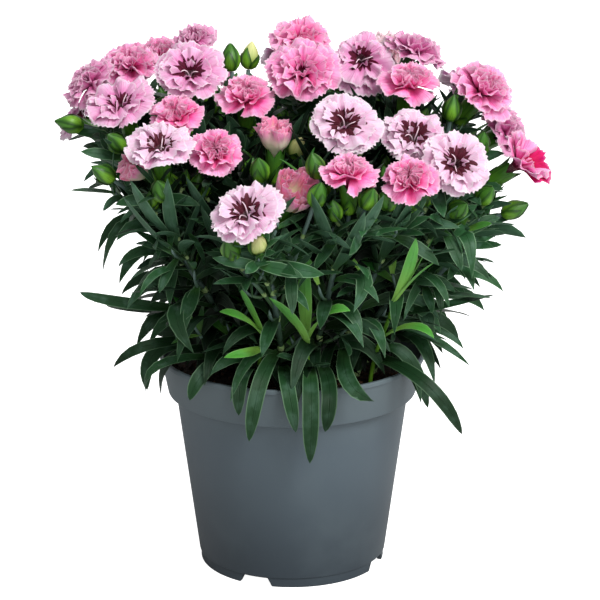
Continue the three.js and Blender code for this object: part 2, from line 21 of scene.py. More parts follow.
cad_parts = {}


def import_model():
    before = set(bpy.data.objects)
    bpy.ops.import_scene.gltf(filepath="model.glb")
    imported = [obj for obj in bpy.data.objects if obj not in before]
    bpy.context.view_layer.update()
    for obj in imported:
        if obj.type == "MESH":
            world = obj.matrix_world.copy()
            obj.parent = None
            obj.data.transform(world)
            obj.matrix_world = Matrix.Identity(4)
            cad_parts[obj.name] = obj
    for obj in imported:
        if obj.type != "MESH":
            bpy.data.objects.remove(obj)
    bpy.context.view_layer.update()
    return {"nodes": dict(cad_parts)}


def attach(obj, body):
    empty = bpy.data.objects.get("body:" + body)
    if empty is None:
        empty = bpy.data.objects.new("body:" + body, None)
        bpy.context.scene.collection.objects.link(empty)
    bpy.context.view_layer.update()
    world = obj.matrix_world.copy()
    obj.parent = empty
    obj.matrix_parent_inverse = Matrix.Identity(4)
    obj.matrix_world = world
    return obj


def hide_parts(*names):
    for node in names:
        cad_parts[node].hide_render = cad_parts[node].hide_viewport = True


log = logging.getLogger("dianthus")

MM = 0.001
UP = Vector((0, 0, 1))
ASKEW = Vector((1, 0.2, 0))  # the way that no limb of the plant runs
BODY = "root"
SHARP = math.radians(70)
PETAL_CLAW = 0.14  # share of a petal that stands in its calyx
Rule = Callable[[float, float], Vector]
Shade = Callable[[float, float], float]
Colour = tuple[int, int, int]
Table = tuple[tuple[float, float], ...]
Place = tuple[float, float, float]


# ---- Small helpers ----


def lerp(low: float, high: float, share: float) -> float:
    """Value at a share of the way from low to high."""
    return low + (high - low) * share


def clamp(value: float) -> float:
    """Value held between 0 and 1."""
    return min(1.0, max(0.0, value))


def smooth(low: float, high: float, value: float) -> float:
    """Soft step from 0 at low to 1 at high."""
    share = clamp((value - low) / (high - low))
    return share * share * (3 - 2 * share)


def along_table(table: Table, place: float) -> float:
    """Reads a table, straight between its rows.

    Args:
        table: (place, value) pairs in order.
        place: where to read it.

    Returns:
        The value there, held at both ends.
    """
    for (low, first), (high, second) in zip(table, table[1:]):
        if place <= high:
            return lerp(first, second, clamp((place - low) / (high - low)))
    return table[-1][1]


def heading(azimuth: float, elevation: float = 0) -> Vector:
    """Unit vector from an azimuth and an elevation in degrees."""
    turn, lift = math.radians(azimuth), math.radians(elevation)
    return Vector((math.cos(lift) * math.cos(turn), math.cos(lift) * math.sin(turn), math.sin(lift)))


def polar(radius: float, turn: float, height: float) -> Vector:
    """Point at a radius and a turn in radians round +Z, at a height."""
    return Vector((radius * math.cos(turn), radius * math.sin(turn), height))


def square_to(vector: Vector, axis: Vector) -> Vector:
    """Unit vector of the part of a vector that is square to an axis."""
    return (vector - axis * vector.dot(axis)).normalized()


def fold(u: float) -> tuple[float, int]:
    """Place across a thin sheet that a closed loop goes round.

    Args:
        u: share of the way round the sheet's section.

    Returns:
        The place across from 1 to -1, and the face: 1 above, -1 below and 0 at the margins.
    """
    across = 2 * abs(2 * u - 1) - 1
    if min(u, abs(u - 0.5), 1 - u) < 1e-6:
        return across, 0
    return across, 1 if u < 0.5 else -1


class Draws:
    """Seeded draws."""

    factor = 1664525
    step = 1013904223
    span = 2 ** 32

    def __init__(self, seed: int) -> None:
        """Starts the draws; the first one is left out."""
        self.state = seed
        self.one()

    def one(self) -> float:
        """Next draw between 0 and 1."""
        self.state = (self.state * self.factor + self.step) % self.span
        return self.state / self.span

    def between(self, low: float, high: float) -> float:
        """Next draw between two values."""
        return lerp(low, high, self.one())


@dataclass(frozen=True)
class Curve:
    """Bezier curve of its control points."""

    controls: tuple[Vector, ...]

    def point(self, share: float) -> Vector:
        """Finds a point of the curve.

        Args:
            share: how far along it lies, from 0 to 1.

        Returns:
            The point.
        """
        points = self.controls
        while len(points) > 1:
            points = tuple(a.lerp(b, share) for a, b in zip(points, points[1:]))
        return points[0]

    def tangent(self, share: float) -> Vector:
        """Unit vector along the curve at a share of it."""
        steps = Curve(tuple(b - a for a, b in zip(self.controls, self.controls[1:])))
        return steps.point(share).normalized()


# ---- Meshes ----


class Build:
    """A mesh in the making: grids laid on surfaces, joined in one piece."""

    def __init__(self) -> None:
        """Starts an empty mesh with a UV map and a tone and a reach for each vertex."""
        self.mesh = bmesh.new()
        self.mesh.loops.layers.uv.new("UVMap")
        self.tone = self.mesh.verts.layers.float.new("tone")
        self.reach = self.mesh.verts.layers.float.new("reach")

    def lay(self, columns: int, rows: int, rule: Rule, finish: int = 0, tone: float | Shade = 0.5,
            reach: float = 1.0) -> None:
        """Lays a grid on a surface and welds it where it meets itself.

        Args:
            columns: faces across the grid, along u.
            rows: faces along the grid, along v.
            rule: point of the surface at u and v, which run from 0 to 1.
            finish: which of the piece's finishes the grid wears.
            tone: shade of the grid within its finish, from 0 to 1, or a rule that gives it at u and v.
            reach: how far its end lies from its bloom's axis, as a share of the bloom's radius.
        """
        grid = bmesh.ops.create_grid(
            self.mesh, x_segments=columns, y_segments=rows, size=1, calc_uvs=True
        )["verts"]
        for vertex in grid:
            u, v = (vertex.co.x + 1) / 2, (vertex.co.y + 1) / 2
            vertex[self.tone] = tone(u, v) if callable(tone) else tone
            vertex[self.reach] = reach
            vertex.co = rule(u, v)
        for face in {face for vertex in grid for face in vertex.link_faces}:
            face.material_index = finish
        bmesh.ops.remove_doubles(self.mesh, verts=grid, dist=1e-3)

    def add_crumb(self, place: Vector, size: Vector, turn: Quaternion, tone: float) -> None:
        """Adds a small angular lump.

        Args:
            place: its centre.
            size: its half lengths.
            turn: how it is turned.
            tone: its shade.
        """
        matrix = Matrix.LocRotScale(place, turn, size)
        lump = bmesh.ops.create_icosphere(self.mesh, subdivisions=1, radius=1, matrix=matrix)
        for vertex in lump["verts"]:
            vertex[self.tone] = tone

    def finished(self, name: str, finishes: list[bpy.types.Material], slot: str,
                 node: str) -> bpy.types.Object:
        """Makes the piece that stands for a node.

        Args:
            name: the piece's name.
            finishes: its materials.
            slot: the record's material slot; it is not used.
            node: the node that it replaces.

        Returns:
            The piece, riding on the part's body.
        """
        for face in self.mesh.faces:
            face.smooth = True
        bmesh.ops.recalc_face_normals(self.mesh, faces=self.mesh.faces)
        for edge in self.mesh.edges:
            edge.smooth = edge.calc_face_angle(0.0) < SHARP
        bmesh.ops.scale(self.mesh, vec=(MM, MM, MM), verts=self.mesh.verts)
        data = bpy.data.meshes.new(name)
        self.mesh.to_mesh(data)
        self.mesh.free()
        for material in finishes:
            data.materials.append(material)
        piece = bpy.data.objects.new(name, data)
        bpy.context.scene.collection.objects.link(piece)
        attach(piece, BODY)
        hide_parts(node)
        log.info("%s: %d faces", name, len(data.polygons))
        return piece


def tube(curve: Curve, radii: Table, sideways: Vector = ASKEW) -> Rule:
    """Surface of a limb along a curve.

    Args:
        curve: the limb's centre line.
        radii: (share of the curve, radius) pairs.
        sideways: vector that isn't along the curve anywhere.

    Returns:
        The rule for a grid that closes at both ends.
    """
    def rule(u: float, v: float) -> Vector:
        """Point at u round the limb and v along it."""
        along = curve.tangent(v)
        across = square_to(sideways, along)
        turn = 2 * math.pi * u
        ring = across * math.cos(turn) + along.cross(across) * math.sin(turn)
        return curve.point(v) + ring * along_table(radii, v)
    return rule


# ---- Shader maths ----


def linear(colour: Colour) -> tuple[float, float, float, float]:
    """Turns a screen colour into a scene-linear one.

    Args:
        colour: red, green and blue, 0 to 255.

    Returns:
        Red, green, blue and an alpha of 1.
    """
    parts = (part / 255 for part in colour)
    red, green, blue = (p / 12.92 if p < 0.04045 else ((p + 0.055) / 1.055) ** 2.4 for p in parts)
    return red, green, blue, 1.0


class Signal:
    """A shader socket on which Python's operators add Math nodes."""

    def __init__(self, sheet: NodeSheet, socket: bpy.types.NodeSocket) -> None:
        """Wraps a socket of a sheet's node."""
        self.sheet = sheet
        self.socket = socket

    def __add__(self, other: Signal | float) -> Signal:
        """Sum."""
        return self.sheet.maths("ADD", self, other)

    __radd__ = __add__

    def __mul__(self, other: Signal | float) -> Signal:
        """Product."""
        return self.sheet.maths("MULTIPLY", self, other)

    __rmul__ = __mul__

    def __sub__(self, other: Signal | float) -> Signal:
        """Difference."""
        return self.sheet.maths("SUBTRACT", self, other)

    def __rsub__(self, other: float) -> Signal:
        """Difference from a number."""
        return self.sheet.maths("SUBTRACT", other, self)

    def __pow__(self, other: float) -> Signal:
        """Power."""
        return self.sheet.maths("POWER", self, other)

    def __abs__(self) -> Signal:
        """Size without its sign."""
        return self.sheet.maths("ABSOLUTE", self)

    def __gt__(self, other: float) -> Signal:
        """1 where it is greater."""
        return self.sheet.maths("GREATER_THAN", self, other)

    def sine(self) -> Signal:
        """Sine of the angle in radians."""
        return self.sheet.maths("SINE", self)


class NodeSheet:
    """The nodes of one material, round its Principled shader."""

    def __init__(self, name: str) -> None:
        """Starts a material.

        Args:
            name: its name.
        """
        self.material = bpy.data.materials.new(name)
        self.material.use_nodes = True
        self.tree = self.material.node_tree
        self.shader = self.tree.nodes["Principled BSDF"]

    def feed(self, socket: bpy.types.NodeSocket, value: object) -> None:
        """Links a signal to a socket, or sets its value.

        Args:
            socket: the input to feed.
            value: the signal, number or colour.
        """
        if isinstance(value, Signal):
            self.tree.links.new(value.socket, socket)
        else:
            socket.default_value = value

    def node(self, kind: str, settings: dict[str, object],
             inputs: dict[str | int, object]) -> bpy.types.Node:
        """Adds a node.

        Args:
            kind: its type, without the prefix.
            settings: its properties.
            inputs: the values or signals of its sockets.

        Returns:
            The node.
        """
        node = self.tree.nodes.new("ShaderNode" + kind)
        for key, value in settings.items():
            setattr(node, key, value)
        for key, value in inputs.items():
            self.feed(node.inputs[key], value)
        return node

    def signal(self, node: bpy.types.Node, output: str | int) -> Signal:
        """Signal of a node's output."""
        return Signal(self, node.outputs[output])

    def maths(self, operation: str, *values: Signal | float) -> Signal:
        """Adds a Math node."""
        return self.signal(self.node("Math", {"operation": operation}, dict(enumerate(values))), 0)

    def mix(self, factor: Signal | float, first: object, second: object, blend: str = "MIX") -> Signal:
        """Colour between two, or the second laid over the first by a blend."""
        settings = {"data_type": "RGBA", "blend_type": blend}
        return self.signal(self.node("Mix", settings, {0: factor, 6: first, 7: second}), 2)

    def step(self, value: Signal, low: float | Signal, high: float | Signal) -> Signal:
        """Soft step of a value from 0 at low to 1 at high."""
        inputs = {"Value": value, "From Min": low, "From Max": high}
        return self.signal(self.node("MapRange", {"interpolation_type": "SMOOTHSTEP"}, inputs), 0)

    def cloud(self, scale: float, detail: float = 3, place: Signal | None = None) -> Signal:
        """Noise about 0.5, on the object's own coordinates unless a place is given."""
        inputs = {"Vector": place or self.place, "Scale": scale, "Detail": detail}
        return self.signal(self.node("TexNoise", {}, inputs), "Fac")

    def stretched(self, x: float, y: float) -> Signal:
        """The UV map, scaled round and along."""
        inputs = {0: self.coordinates, 1: (x, y, 1)}
        return self.signal(self.node("VectorMath", {"operation": "MULTIPLY"}, inputs), 0)

    @cached_property
    def place(self) -> Signal:
        """The object's own coordinates."""
        return self.signal(self.node("TexCoord", {}, {}), "Object")

    @cached_property
    def tone(self) -> Signal:
        """The shade that each grid was given."""
        return self.signal(self.node("Attribute", {"attribute_name": "tone"}, {}), "Fac")

    @cached_property
    def reach(self) -> Signal:
        """The reach that each grid was given."""
        return self.signal(self.node("Attribute", {"attribute_name": "reach"}, {}), "Fac")

    @cached_property
    def coordinates(self) -> Signal:
        """The UV map."""
        return self.signal(self.node("UVMap", {"uv_map": "UVMap"}, {}), 0)

    @cached_property
    def uv(self) -> tuple[Signal, Signal]:
        """Share of the way round, and along."""
        parts = self.node("SeparateXYZ", {}, {0: self.coordinates})
        return self.signal(parts, 0), self.signal(parts, 1)

    @cached_property
    def from_rib(self) -> Signal:
        """How far out a folded sheet is, from 0 at its rib to 1 at its margins."""
        return abs(2 * abs(2 * self.uv[0] - 1) - 1)

    def bump(self, height: Signal, distance: float, strength: float = 1) -> None:
        """Raises the surface by a signal.

        Args:
            height: the signal.
            distance: how far a signal of 1 raises it, in millimetres.
            strength: share of that which shows.
        """
        inputs = {"Height": height, "Distance": distance * MM, "Strength": strength}
        self.feed(self.shader.inputs["Normal"], self.signal(self.node("Bump", {}, inputs), 0))

    def finish(self, inputs: dict[str, object]) -> bpy.types.Material:
        """Feeds the shader's sockets.

        Args:
            inputs: the value or signal of each socket.

        Returns:
            The material.
        """
        for key, value in inputs.items():
            self.feed(self.shader.inputs[key], value)
        return self.material


# ---- Finishes ----


@dataclass(frozen=True)
class PetalFinish:
    """Thin petal: paler at its rim, streaked along, with a jagged dark eye at its foot."""

    name: str
    rim: Colour
    middle: Colour
    base: Colour
    edge: Colour = (252, 236, 246)
    eye: Colour = (70, 0, 16)
    eye_reach: float = 0.0
    base_reach: float = 0.7
    streaks: float = 0.55
    folds: float = 0.75

    def material(self) -> bpy.types.Material:
        """Builds the material.

        Returns:
            The material.
        """
        sheet = NodeSheet(self.name)
        _, along = sheet.uv
        patches = sheet.cloud(320, 4)
        fibre = sheet.cloud(1, 2, sheet.stretched(64, 1.5))
        # From the foot to the middle, then to a paler rim, with painted shade in the folds, painted highlight
        # on the crests, and streaks.
        colour = sheet.mix(sheet.step(along, 0.15, self.base_reach), linear(self.base), linear(self.middle))
        # Painted highlight on the ruffles' crests, where the tone is high.
        crest = sheet.step(sheet.tone + 0.5 * (patches - 0.5), 0.45, 0.85)
        to_rim = sheet.step(along + 0.3 * (patches - 0.5), 0.5, 0.98)
        colour = sheet.mix(0.75 * to_rim + 0.25 * crest, colour, linear(self.rim))
        # Painted shade in the folds between ruffles, where the tone is low.
        fold = 1 - sheet.step(sheet.tone + 0.4 * (patches - 0.5), 0.1, 0.5)
        colour = sheet.mix(self.folds * fold * (1 - to_rim * 0.35), colour, linear(self.base))
        streak = self.streaks * sheet.step(fibre, 0.5, 0.68) * (1 - to_rim * 0.5)
        colour = sheet.mix(streak, colour, linear(self.base))
        edge = sheet.step(along + 0.06 * (patches - 0.5), 0.925, 0.985)
        colour = sheet.mix(0.8 * edge, colour, linear(self.edge))
        if self.eye_reach:
            # The eye is measured on the bloom, so that it is one jagged star over all its whorls.
            out = (along - PETAL_CLAW) * (1 / (1 - PETAL_CLAW)) * sheet.reach
            teeth = (sheet.from_rib * (3 * math.pi) + math.pi / 2).sine()
            ragged = self.eye_reach + 0.055 * teeth - 0.1 * sheet.from_rib ** 2 + 0.08 * (fibre - 0.5)
            eye = 1 - sheet.step(out - ragged, -0.012, 0.012)
            colour = sheet.mix(eye * 0.97, colour, linear(self.eye))
            throat = (1 - sheet.step(out, 0.02, 0.09)) * sheet.step(fibre, 0.45, 0.6)
            colour = sheet.mix(throat * 0.5, colour, (0.6, 0.42, 0.45, 1))
        sheet.bump(fibre + 0.8 * patches, 0.3, 0.6)
        return sheet.finish({
            "Base Color": colour, "Roughness": 0.62, "Specular IOR Level": 0.16, "Subsurface Weight": 0.4,
            "Subsurface Radius": (1.0, 0.55, 0.85), "Subsurface Scale": 1.5 * MM, "Sheen Weight": 0.03,
        })


class Tint(Enum):
    """The finishes that a bloom's petals can have."""

    PALE = PetalFinish("petals_pale", (238, 202, 226), (230, 178, 208), (200, 92, 150),
                       edge=(250, 232, 244), eye_reach=0.46, streaks=0.4, folds=0.6)
    BLUSH = PetalFinish("petals_blush", (238, 184, 216), (222, 136, 186), (172, 44, 112),
                        edge=(248, 220, 238), eye=(76, 0, 28), eye_reach=0.4)
    PINK = PetalFinish("petals_pink", (250, 172, 214), (234, 104, 170), (190, 18, 94),
                       edge=(250, 204, 230), eye=(104, 2, 44), eye_reach=0.28)
    ROSE = PetalFinish("petals_rose", (255, 180, 220), (246, 92, 168), (196, 12, 88), edge=(255, 202, 230))
    MAUVE = PetalFinish("petals_mauve", (238, 172, 208), (214, 112, 170), (150, 30, 92), edge=(244, 202, 226))
    CREAM = PetalFinish("petals_cream", (248, 214, 222), (236, 184, 198), (210, 150, 156), streaks=0.3)
    PEACH = PetalFinish("petals_peach", (252, 130, 184), (248, 168, 198), (236, 232, 190),
                        edge=(255, 190, 220), base_reach=0.95, streaks=0.3, folds=0.35)
    CRIMSON = PetalFinish("petals_crimson", (206, 14, 96), (184, 4, 72), (112, 0, 40), edge=(222, 70, 140))


@dataclass(frozen=True)
class LeafFinish:
    """Leaf with a waxy bloom and painted sheen, a pale margin and fine veins along it; its tone turns low to
    high.
    """

    name: str
    low: Colour
    high: Colour
    foot: Colour
    margin: Colour
    wax_and_sheen: Colour
    foot_reach: float = 0.3
    roughness: float = 0.42

    def material(self) -> bpy.types.Material:
        """Builds the material.

        Returns:
            The material.
        """
        sheet = NodeSheet(self.name)
        around, along = sheet.uv
        patches = sheet.cloud(120, 4)
        fibre = sheet.cloud(1, 2, sheet.stretched(60, 2))
        # Painted shade: the tone takes the leaf from the near-black low colour deep in the plant to the high
        # one.
        colour = sheet.mix(sheet.tone, linear(self.low), linear(self.high))
        # The waxy bloom, partly painted sheen: it shows down the middle of the blades that the tone lights.
        wax_and_sheen = sheet.step(patches, 0.46, 0.66) * (1 - sheet.from_rib * 0.8) * sheet.step(along, 0.1, 0.4)
        colour = sheet.mix(0.6 * sheet.tone * wax_and_sheen, colour, linear(self.wax_and_sheen))
        colour = sheet.mix(0.6 * sheet.step(fibre, 0.5, 0.65), colour, (0.66, 0.74, 0.68, 1), "MULTIPLY")
        # Painted shade in the midrib's groove, besides the groove's bump.
        rib = 1 - sheet.step(sheet.from_rib, 0.02, 0.08)
        colour = sheet.mix(0.35 * rib, colour, (0.6, 0.62, 0.6, 1), "MULTIPLY")
        foot = 1 - sheet.step(along, 0.02, self.foot_reach)
        colour = sheet.mix((0.1 + 0.7 * sheet.tone) * foot, colour, linear(self.foot))
        edge = sheet.step(sheet.from_rib, 0.84, 0.97)
        colour = sheet.mix((0.08 + 0.72 * sheet.tone) * edge, colour, linear(self.margin))
        under = around > 0.5
        colour = sheet.mix(0.3 * sheet.tone * under, colour, linear(self.wax_and_sheen))
        sheet.bump(0.7 * fibre - 1.2 * rib + 0.4 * patches, 0.3, 0.6)
        return sheet.finish({
            "Base Color": colour, "Roughness": self.roughness + 0.16 * (patches - 0.5),
            "Specular IOR Level": 0.17,
        })


@dataclass(frozen=True)
class GreenFinish:
    """Green skin of a stalk, calyx or bud: the foot colour turns to the top colour along it."""

    name: str
    foot: Colour
    top: Colour
    streak: Colour
    roughness: float = 0.42
    dark_margin: float = 0.0

    def material(self) -> bpy.types.Material:
        """Builds the material.

        Returns:
            The material.
        """
        sheet = NodeSheet(self.name)
        _, along = sheet.uv
        patches = sheet.cloud(150, 3)
        fibre = sheet.cloud(1, 2, sheet.stretched(26, 2))
        rise = sheet.step(along + 0.3 * (patches - 0.5), 0.2, 0.9)
        colour = sheet.mix(rise, linear(self.foot), linear(self.top))
        colour = sheet.mix(0.6 * sheet.step(fibre, 0.48, 0.7), colour, linear(self.streak))
        if self.dark_margin:
            edge = sheet.step(sheet.from_rib + 0.3 * (patches - 0.5), 0.25, 0.9)
            colour = sheet.mix(self.dark_margin * edge, colour, linear(self.streak))
        # Painted shade: the main axis's tone darkens it deep in the plant; elsewhere the tone is a fixed
        # lightness.
        shade = sheet.mix(sheet.tone, (0.25, 0.3, 0.26, 1), (1.3, 1.28, 1.24, 1))
        colour = sheet.mix(1.0, colour, shade, "MULTIPLY")
        sheet.bump(fibre + 0.5 * patches, 0.25, 0.5)
        return sheet.finish({"Base Color": colour, "Roughness": self.roughness, "Specular IOR Level": 0.35})


@dataclass(frozen=True)
class PotFinish:
    """Satin moulded plastic, greyer and lighter at its band, with faint flow marks and scuffs and painted
    shade at its foot.
    """

    name: str = "pot_plastic"
    # Colour at the foot: darker than the body, as painted shade.
    foot: Colour = (52, 61, 68)
    body: Colour = (82, 94, 102)
    band: Colour = (92, 104, 109)
    dust: Colour = (94, 106, 111)

    def material(self) -> bpy.types.Material:
        """Builds the material.

        Returns:
            The material.
        """
        sheet = NodeSheet(self.name)
        height = sheet.signal(sheet.node("SeparateXYZ", {}, {0: sheet.place}), 2)
        clouds = sheet.cloud(28, 4)
        grain = sheet.cloud(1900, 2)
        # Painted shade: darker towards the foot.
        colour = sheet.mix(sheet.step(height, 0, 0.075), linear(self.foot), linear(self.body))
        colour = sheet.mix(sheet.step(height, 0.07, 0.1), colour, linear(self.band))
        colour = sheet.mix(0.22 * sheet.step(clouds, 0.45, 0.75), colour, linear(self.dust))
        colour = sheet.mix(0.08 * grain, colour, (0.02, 0.02, 0.02, 1))
        sheet.bump(grain + 0.3 * clouds, 0.06, 0.35)
        return sheet.finish({
            "Base Color": colour, "Roughness": 0.44 + 0.12 * clouds, "Specular IOR Level": 0.22,
        })


@dataclass(frozen=True)
class PeatFinish:
    """Moist peat with paler fibres."""

    name: str = "peat"
    wet: Colour = (28, 19, 14)
    dry: Colour = (74, 52, 38)

    def material(self) -> bpy.types.Material:
        """Builds the material.

        Returns:
            The material.
        """
        sheet = NodeSheet(self.name)
        patches = sheet.cloud(240, 5)
        dryness = sheet.step(patches * 0.6 + sheet.tone * 0.4, 0.35, 0.75)
        colour = sheet.mix(dryness, linear(self.wet), linear(self.dry))
        sheet.bump(patches, 1.2)
        return sheet.finish({"Base Color": colour, "Roughness": 0.95, "Specular IOR Level": 0.15})


@dataclass(frozen=True)
class PlainFinish:
    """Plain skin of a pale filament."""

    name: str
    colour: Colour
    roughness: float = 0.6

    def material(self) -> bpy.types.Material:
        """Builds the material.

        Returns:
            The material.
        """
        sheet = NodeSheet(self.name)
        return sheet.finish({"Base Color": linear(self.colour), "Roughness": self.roughness})


# In the leaf finishes the low colours are painted shade, and the wax colours are partly painted sheen.
LEAF = LeafFinish("leaf_green", (2, 12, 3), (46, 88, 52), (60, 104, 40), (130, 166, 128), (98, 132, 114))
YOUNG_LEAF = LeafFinish("leaf_young", (24, 76, 24), (80, 152, 58), (156, 200, 88), (140, 190, 112),
                        (96, 158, 86), 0.6)
STALK = GreenFinish("stalk_green", (58, 88, 54), (98, 122, 118), (62, 82, 82))
YOUNG_STALK = GreenFinish("stalk_young", (100, 150, 40), (104, 162, 50), (64, 116, 32))
CALYX = GreenFinish("calyx_green", (78, 130, 34), (60, 112, 38), (30, 66, 22), 0.38)
SCALE = GreenFinish("scale_green", (124, 180, 50), (62, 114, 36), (34, 72, 26), 0.36, 0.9)
NODE = GreenFinish("node_green", (182, 208, 146), (126, 162, 98), (96, 134, 74))
BUD_TIP = GreenFinish("bud_tip", (150, 180, 76), (222, 220, 160), (158, 180, 92), 0.5)
STYLE = PlainFinish("style_white", (234, 206, 218))


class Wear(IntEnum):
    """Places of a green piece's finishes in its list."""

    STALK = 0
    LEAF = 1
    CALYX = 2
    NODE = 3
    BUD_TIP = 4
    FRESH = 5
    SCALE = 6
    OLD = 7


class PetalWear(IntEnum):
    """Places of a bloom's finishes in its list."""

    PETAL = 0
    STYLE = 1
    ACCENT = 2


@dataclass(frozen=True)
class FloorFinish:
    """Studio floor that the camera sees evenly white, and that lights the object as a pale grey one."""

    name: str = "studio_floor"
    colour: Colour = (200, 200, 200)

    def material(self) -> bpy.types.Material:
        """Builds the material.

        Returns:
            The material.
        """
        sheet = NodeSheet(self.name)
        seen = sheet.signal(sheet.node("LightPath", {}, {}), "Is Camera Ray")
        return sheet.finish({
            "Base Color": linear(self.colour), "Roughness": 0.9, "Emission Strength": 1.0,
            "Emission Color": sheet.mix(seen, (0, 0, 0, 1), (1, 1, 1, 1)),
        })


class Finishes:
    """The materials, each built once."""

    def __init__(self) -> None:
        """Starts with none built."""
        self.built: dict[str, bpy.types.Material] = {}

    def of(self, *finishes: object) -> list[bpy.types.Material]:
        """Gives the materials of some finishes.

        Args:
            *finishes: the finishes, in order.

        Returns:
            A material for each, built if it is new.
        """
        for finish in finishes:
            if finish.name not in self.built:
                self.built[finish.name] = finish.material()
        return [self.built[finish.name] for finish in finishes]


# ---- The plant's layout ----


class Form(Enum):
    """Kinds of head, with the centre of the petals as a share of the radius."""

    OPEN = 0.16
    DOUBLE = 0.42
    OPENING = 0.75
    BUD = 0.0


THROAT = 3.0  # how far above the calyx's mouth the petals bend outwards
THROAT_RADIUS = 2.2
CALYX_LENGTH = 17.0
CALYX_RADII = ((0.0, 0.0), (0.3, 2.4), (2.5, 3.4), (9.0, 4.1), (17.0, 4.6), (21.0, 5.6))
BUD_LENGTH = 17.0
BUD_RADII = (
    (0.0, 0.0), (0.4, 2.1), (2.0, 3.2), (4.6, 4.1), (7.2, 4.2), (10.0, 3.2), (12.4, 1.6), (14.2, 0.0),
)


@dataclass(frozen=True)
class Head:
    """A bloom or bud."""

    centre: Vector  # middle of its petals, or of the bud
    azimuth: float  # the way it faces round the pot, in degrees
    elevation: float  # how far up it faces, in degrees
    form: Form
    radius: float = 0.0  # of its petals
    tint: Tint | None = None
    showing: bool = False  # whether a bud's petal tips show
    size: float = 1.0  # of a bud, as a share of a full one

    @property
    def facing(self) -> Vector:
        """Unit vector that the head faces."""
        return heading(self.azimuth, self.elevation)

    @property
    def turn(self) -> Quaternion:
        """Turn from +Z to the way the head faces."""
        return UP.rotation_difference(self.facing)

    @property
    def mouth(self) -> Vector:
        """Centre of the calyx's mouth."""
        return self.centre - self.facing * (THROAT + self.form.value * self.radius)

    @property
    def foot(self) -> Vector:
        """Where the calyx or bud starts."""
        if self.form is Form.BUD:
            return self.centre - self.facing * BUD_LENGTH * self.size / 2
        return self.mouth - self.facing * CALYX_LENGTH


def bloom(x: float, y: float, z: float, azimuth: float, elevation: float, form: Form, radius: float,
          tint: Tint) -> Head:
    """A head with petals."""
    return Head(Vector((x, y, z)), azimuth, elevation, form, radius, tint)


def bud(x: float, y: float, z: float, azimuth: float, elevation: float, showing: bool = False) -> Head:
    """A closed head, with its petals' tips showing or not."""
    return Head(Vector((x, y, z)), azimuth, elevation, Form.BUD, showing=showing)


@dataclass(frozen=True)
class LeafPath:
    """Leading leaf: it leaves its stem at a height, passes through a point and ends at its tip."""

    height: float
    through: Place
    tip: Place
    width: float
    roll: float = 0.0


@dataclass(frozen=True)
class StemPlan:
    """A stem: its root, its heads or its top, and its leading leaves."""

    root: tuple[float, float]
    heads: tuple[Head, ...] = ()
    leaves: tuple[LeafPath, ...] = ()
    top: Place | None = None


DOUBLE, OPEN, OPENING = Form.DOUBLE, Form.OPEN, Form.OPENING
PALE, BLUSH, PINK, ROSE, MAUVE, CREAM, PEACH = (
    Tint.PALE, Tint.BLUSH, Tint.PINK, Tint.ROSE, Tint.MAUVE, Tint.CREAM, Tint.PEACH
)

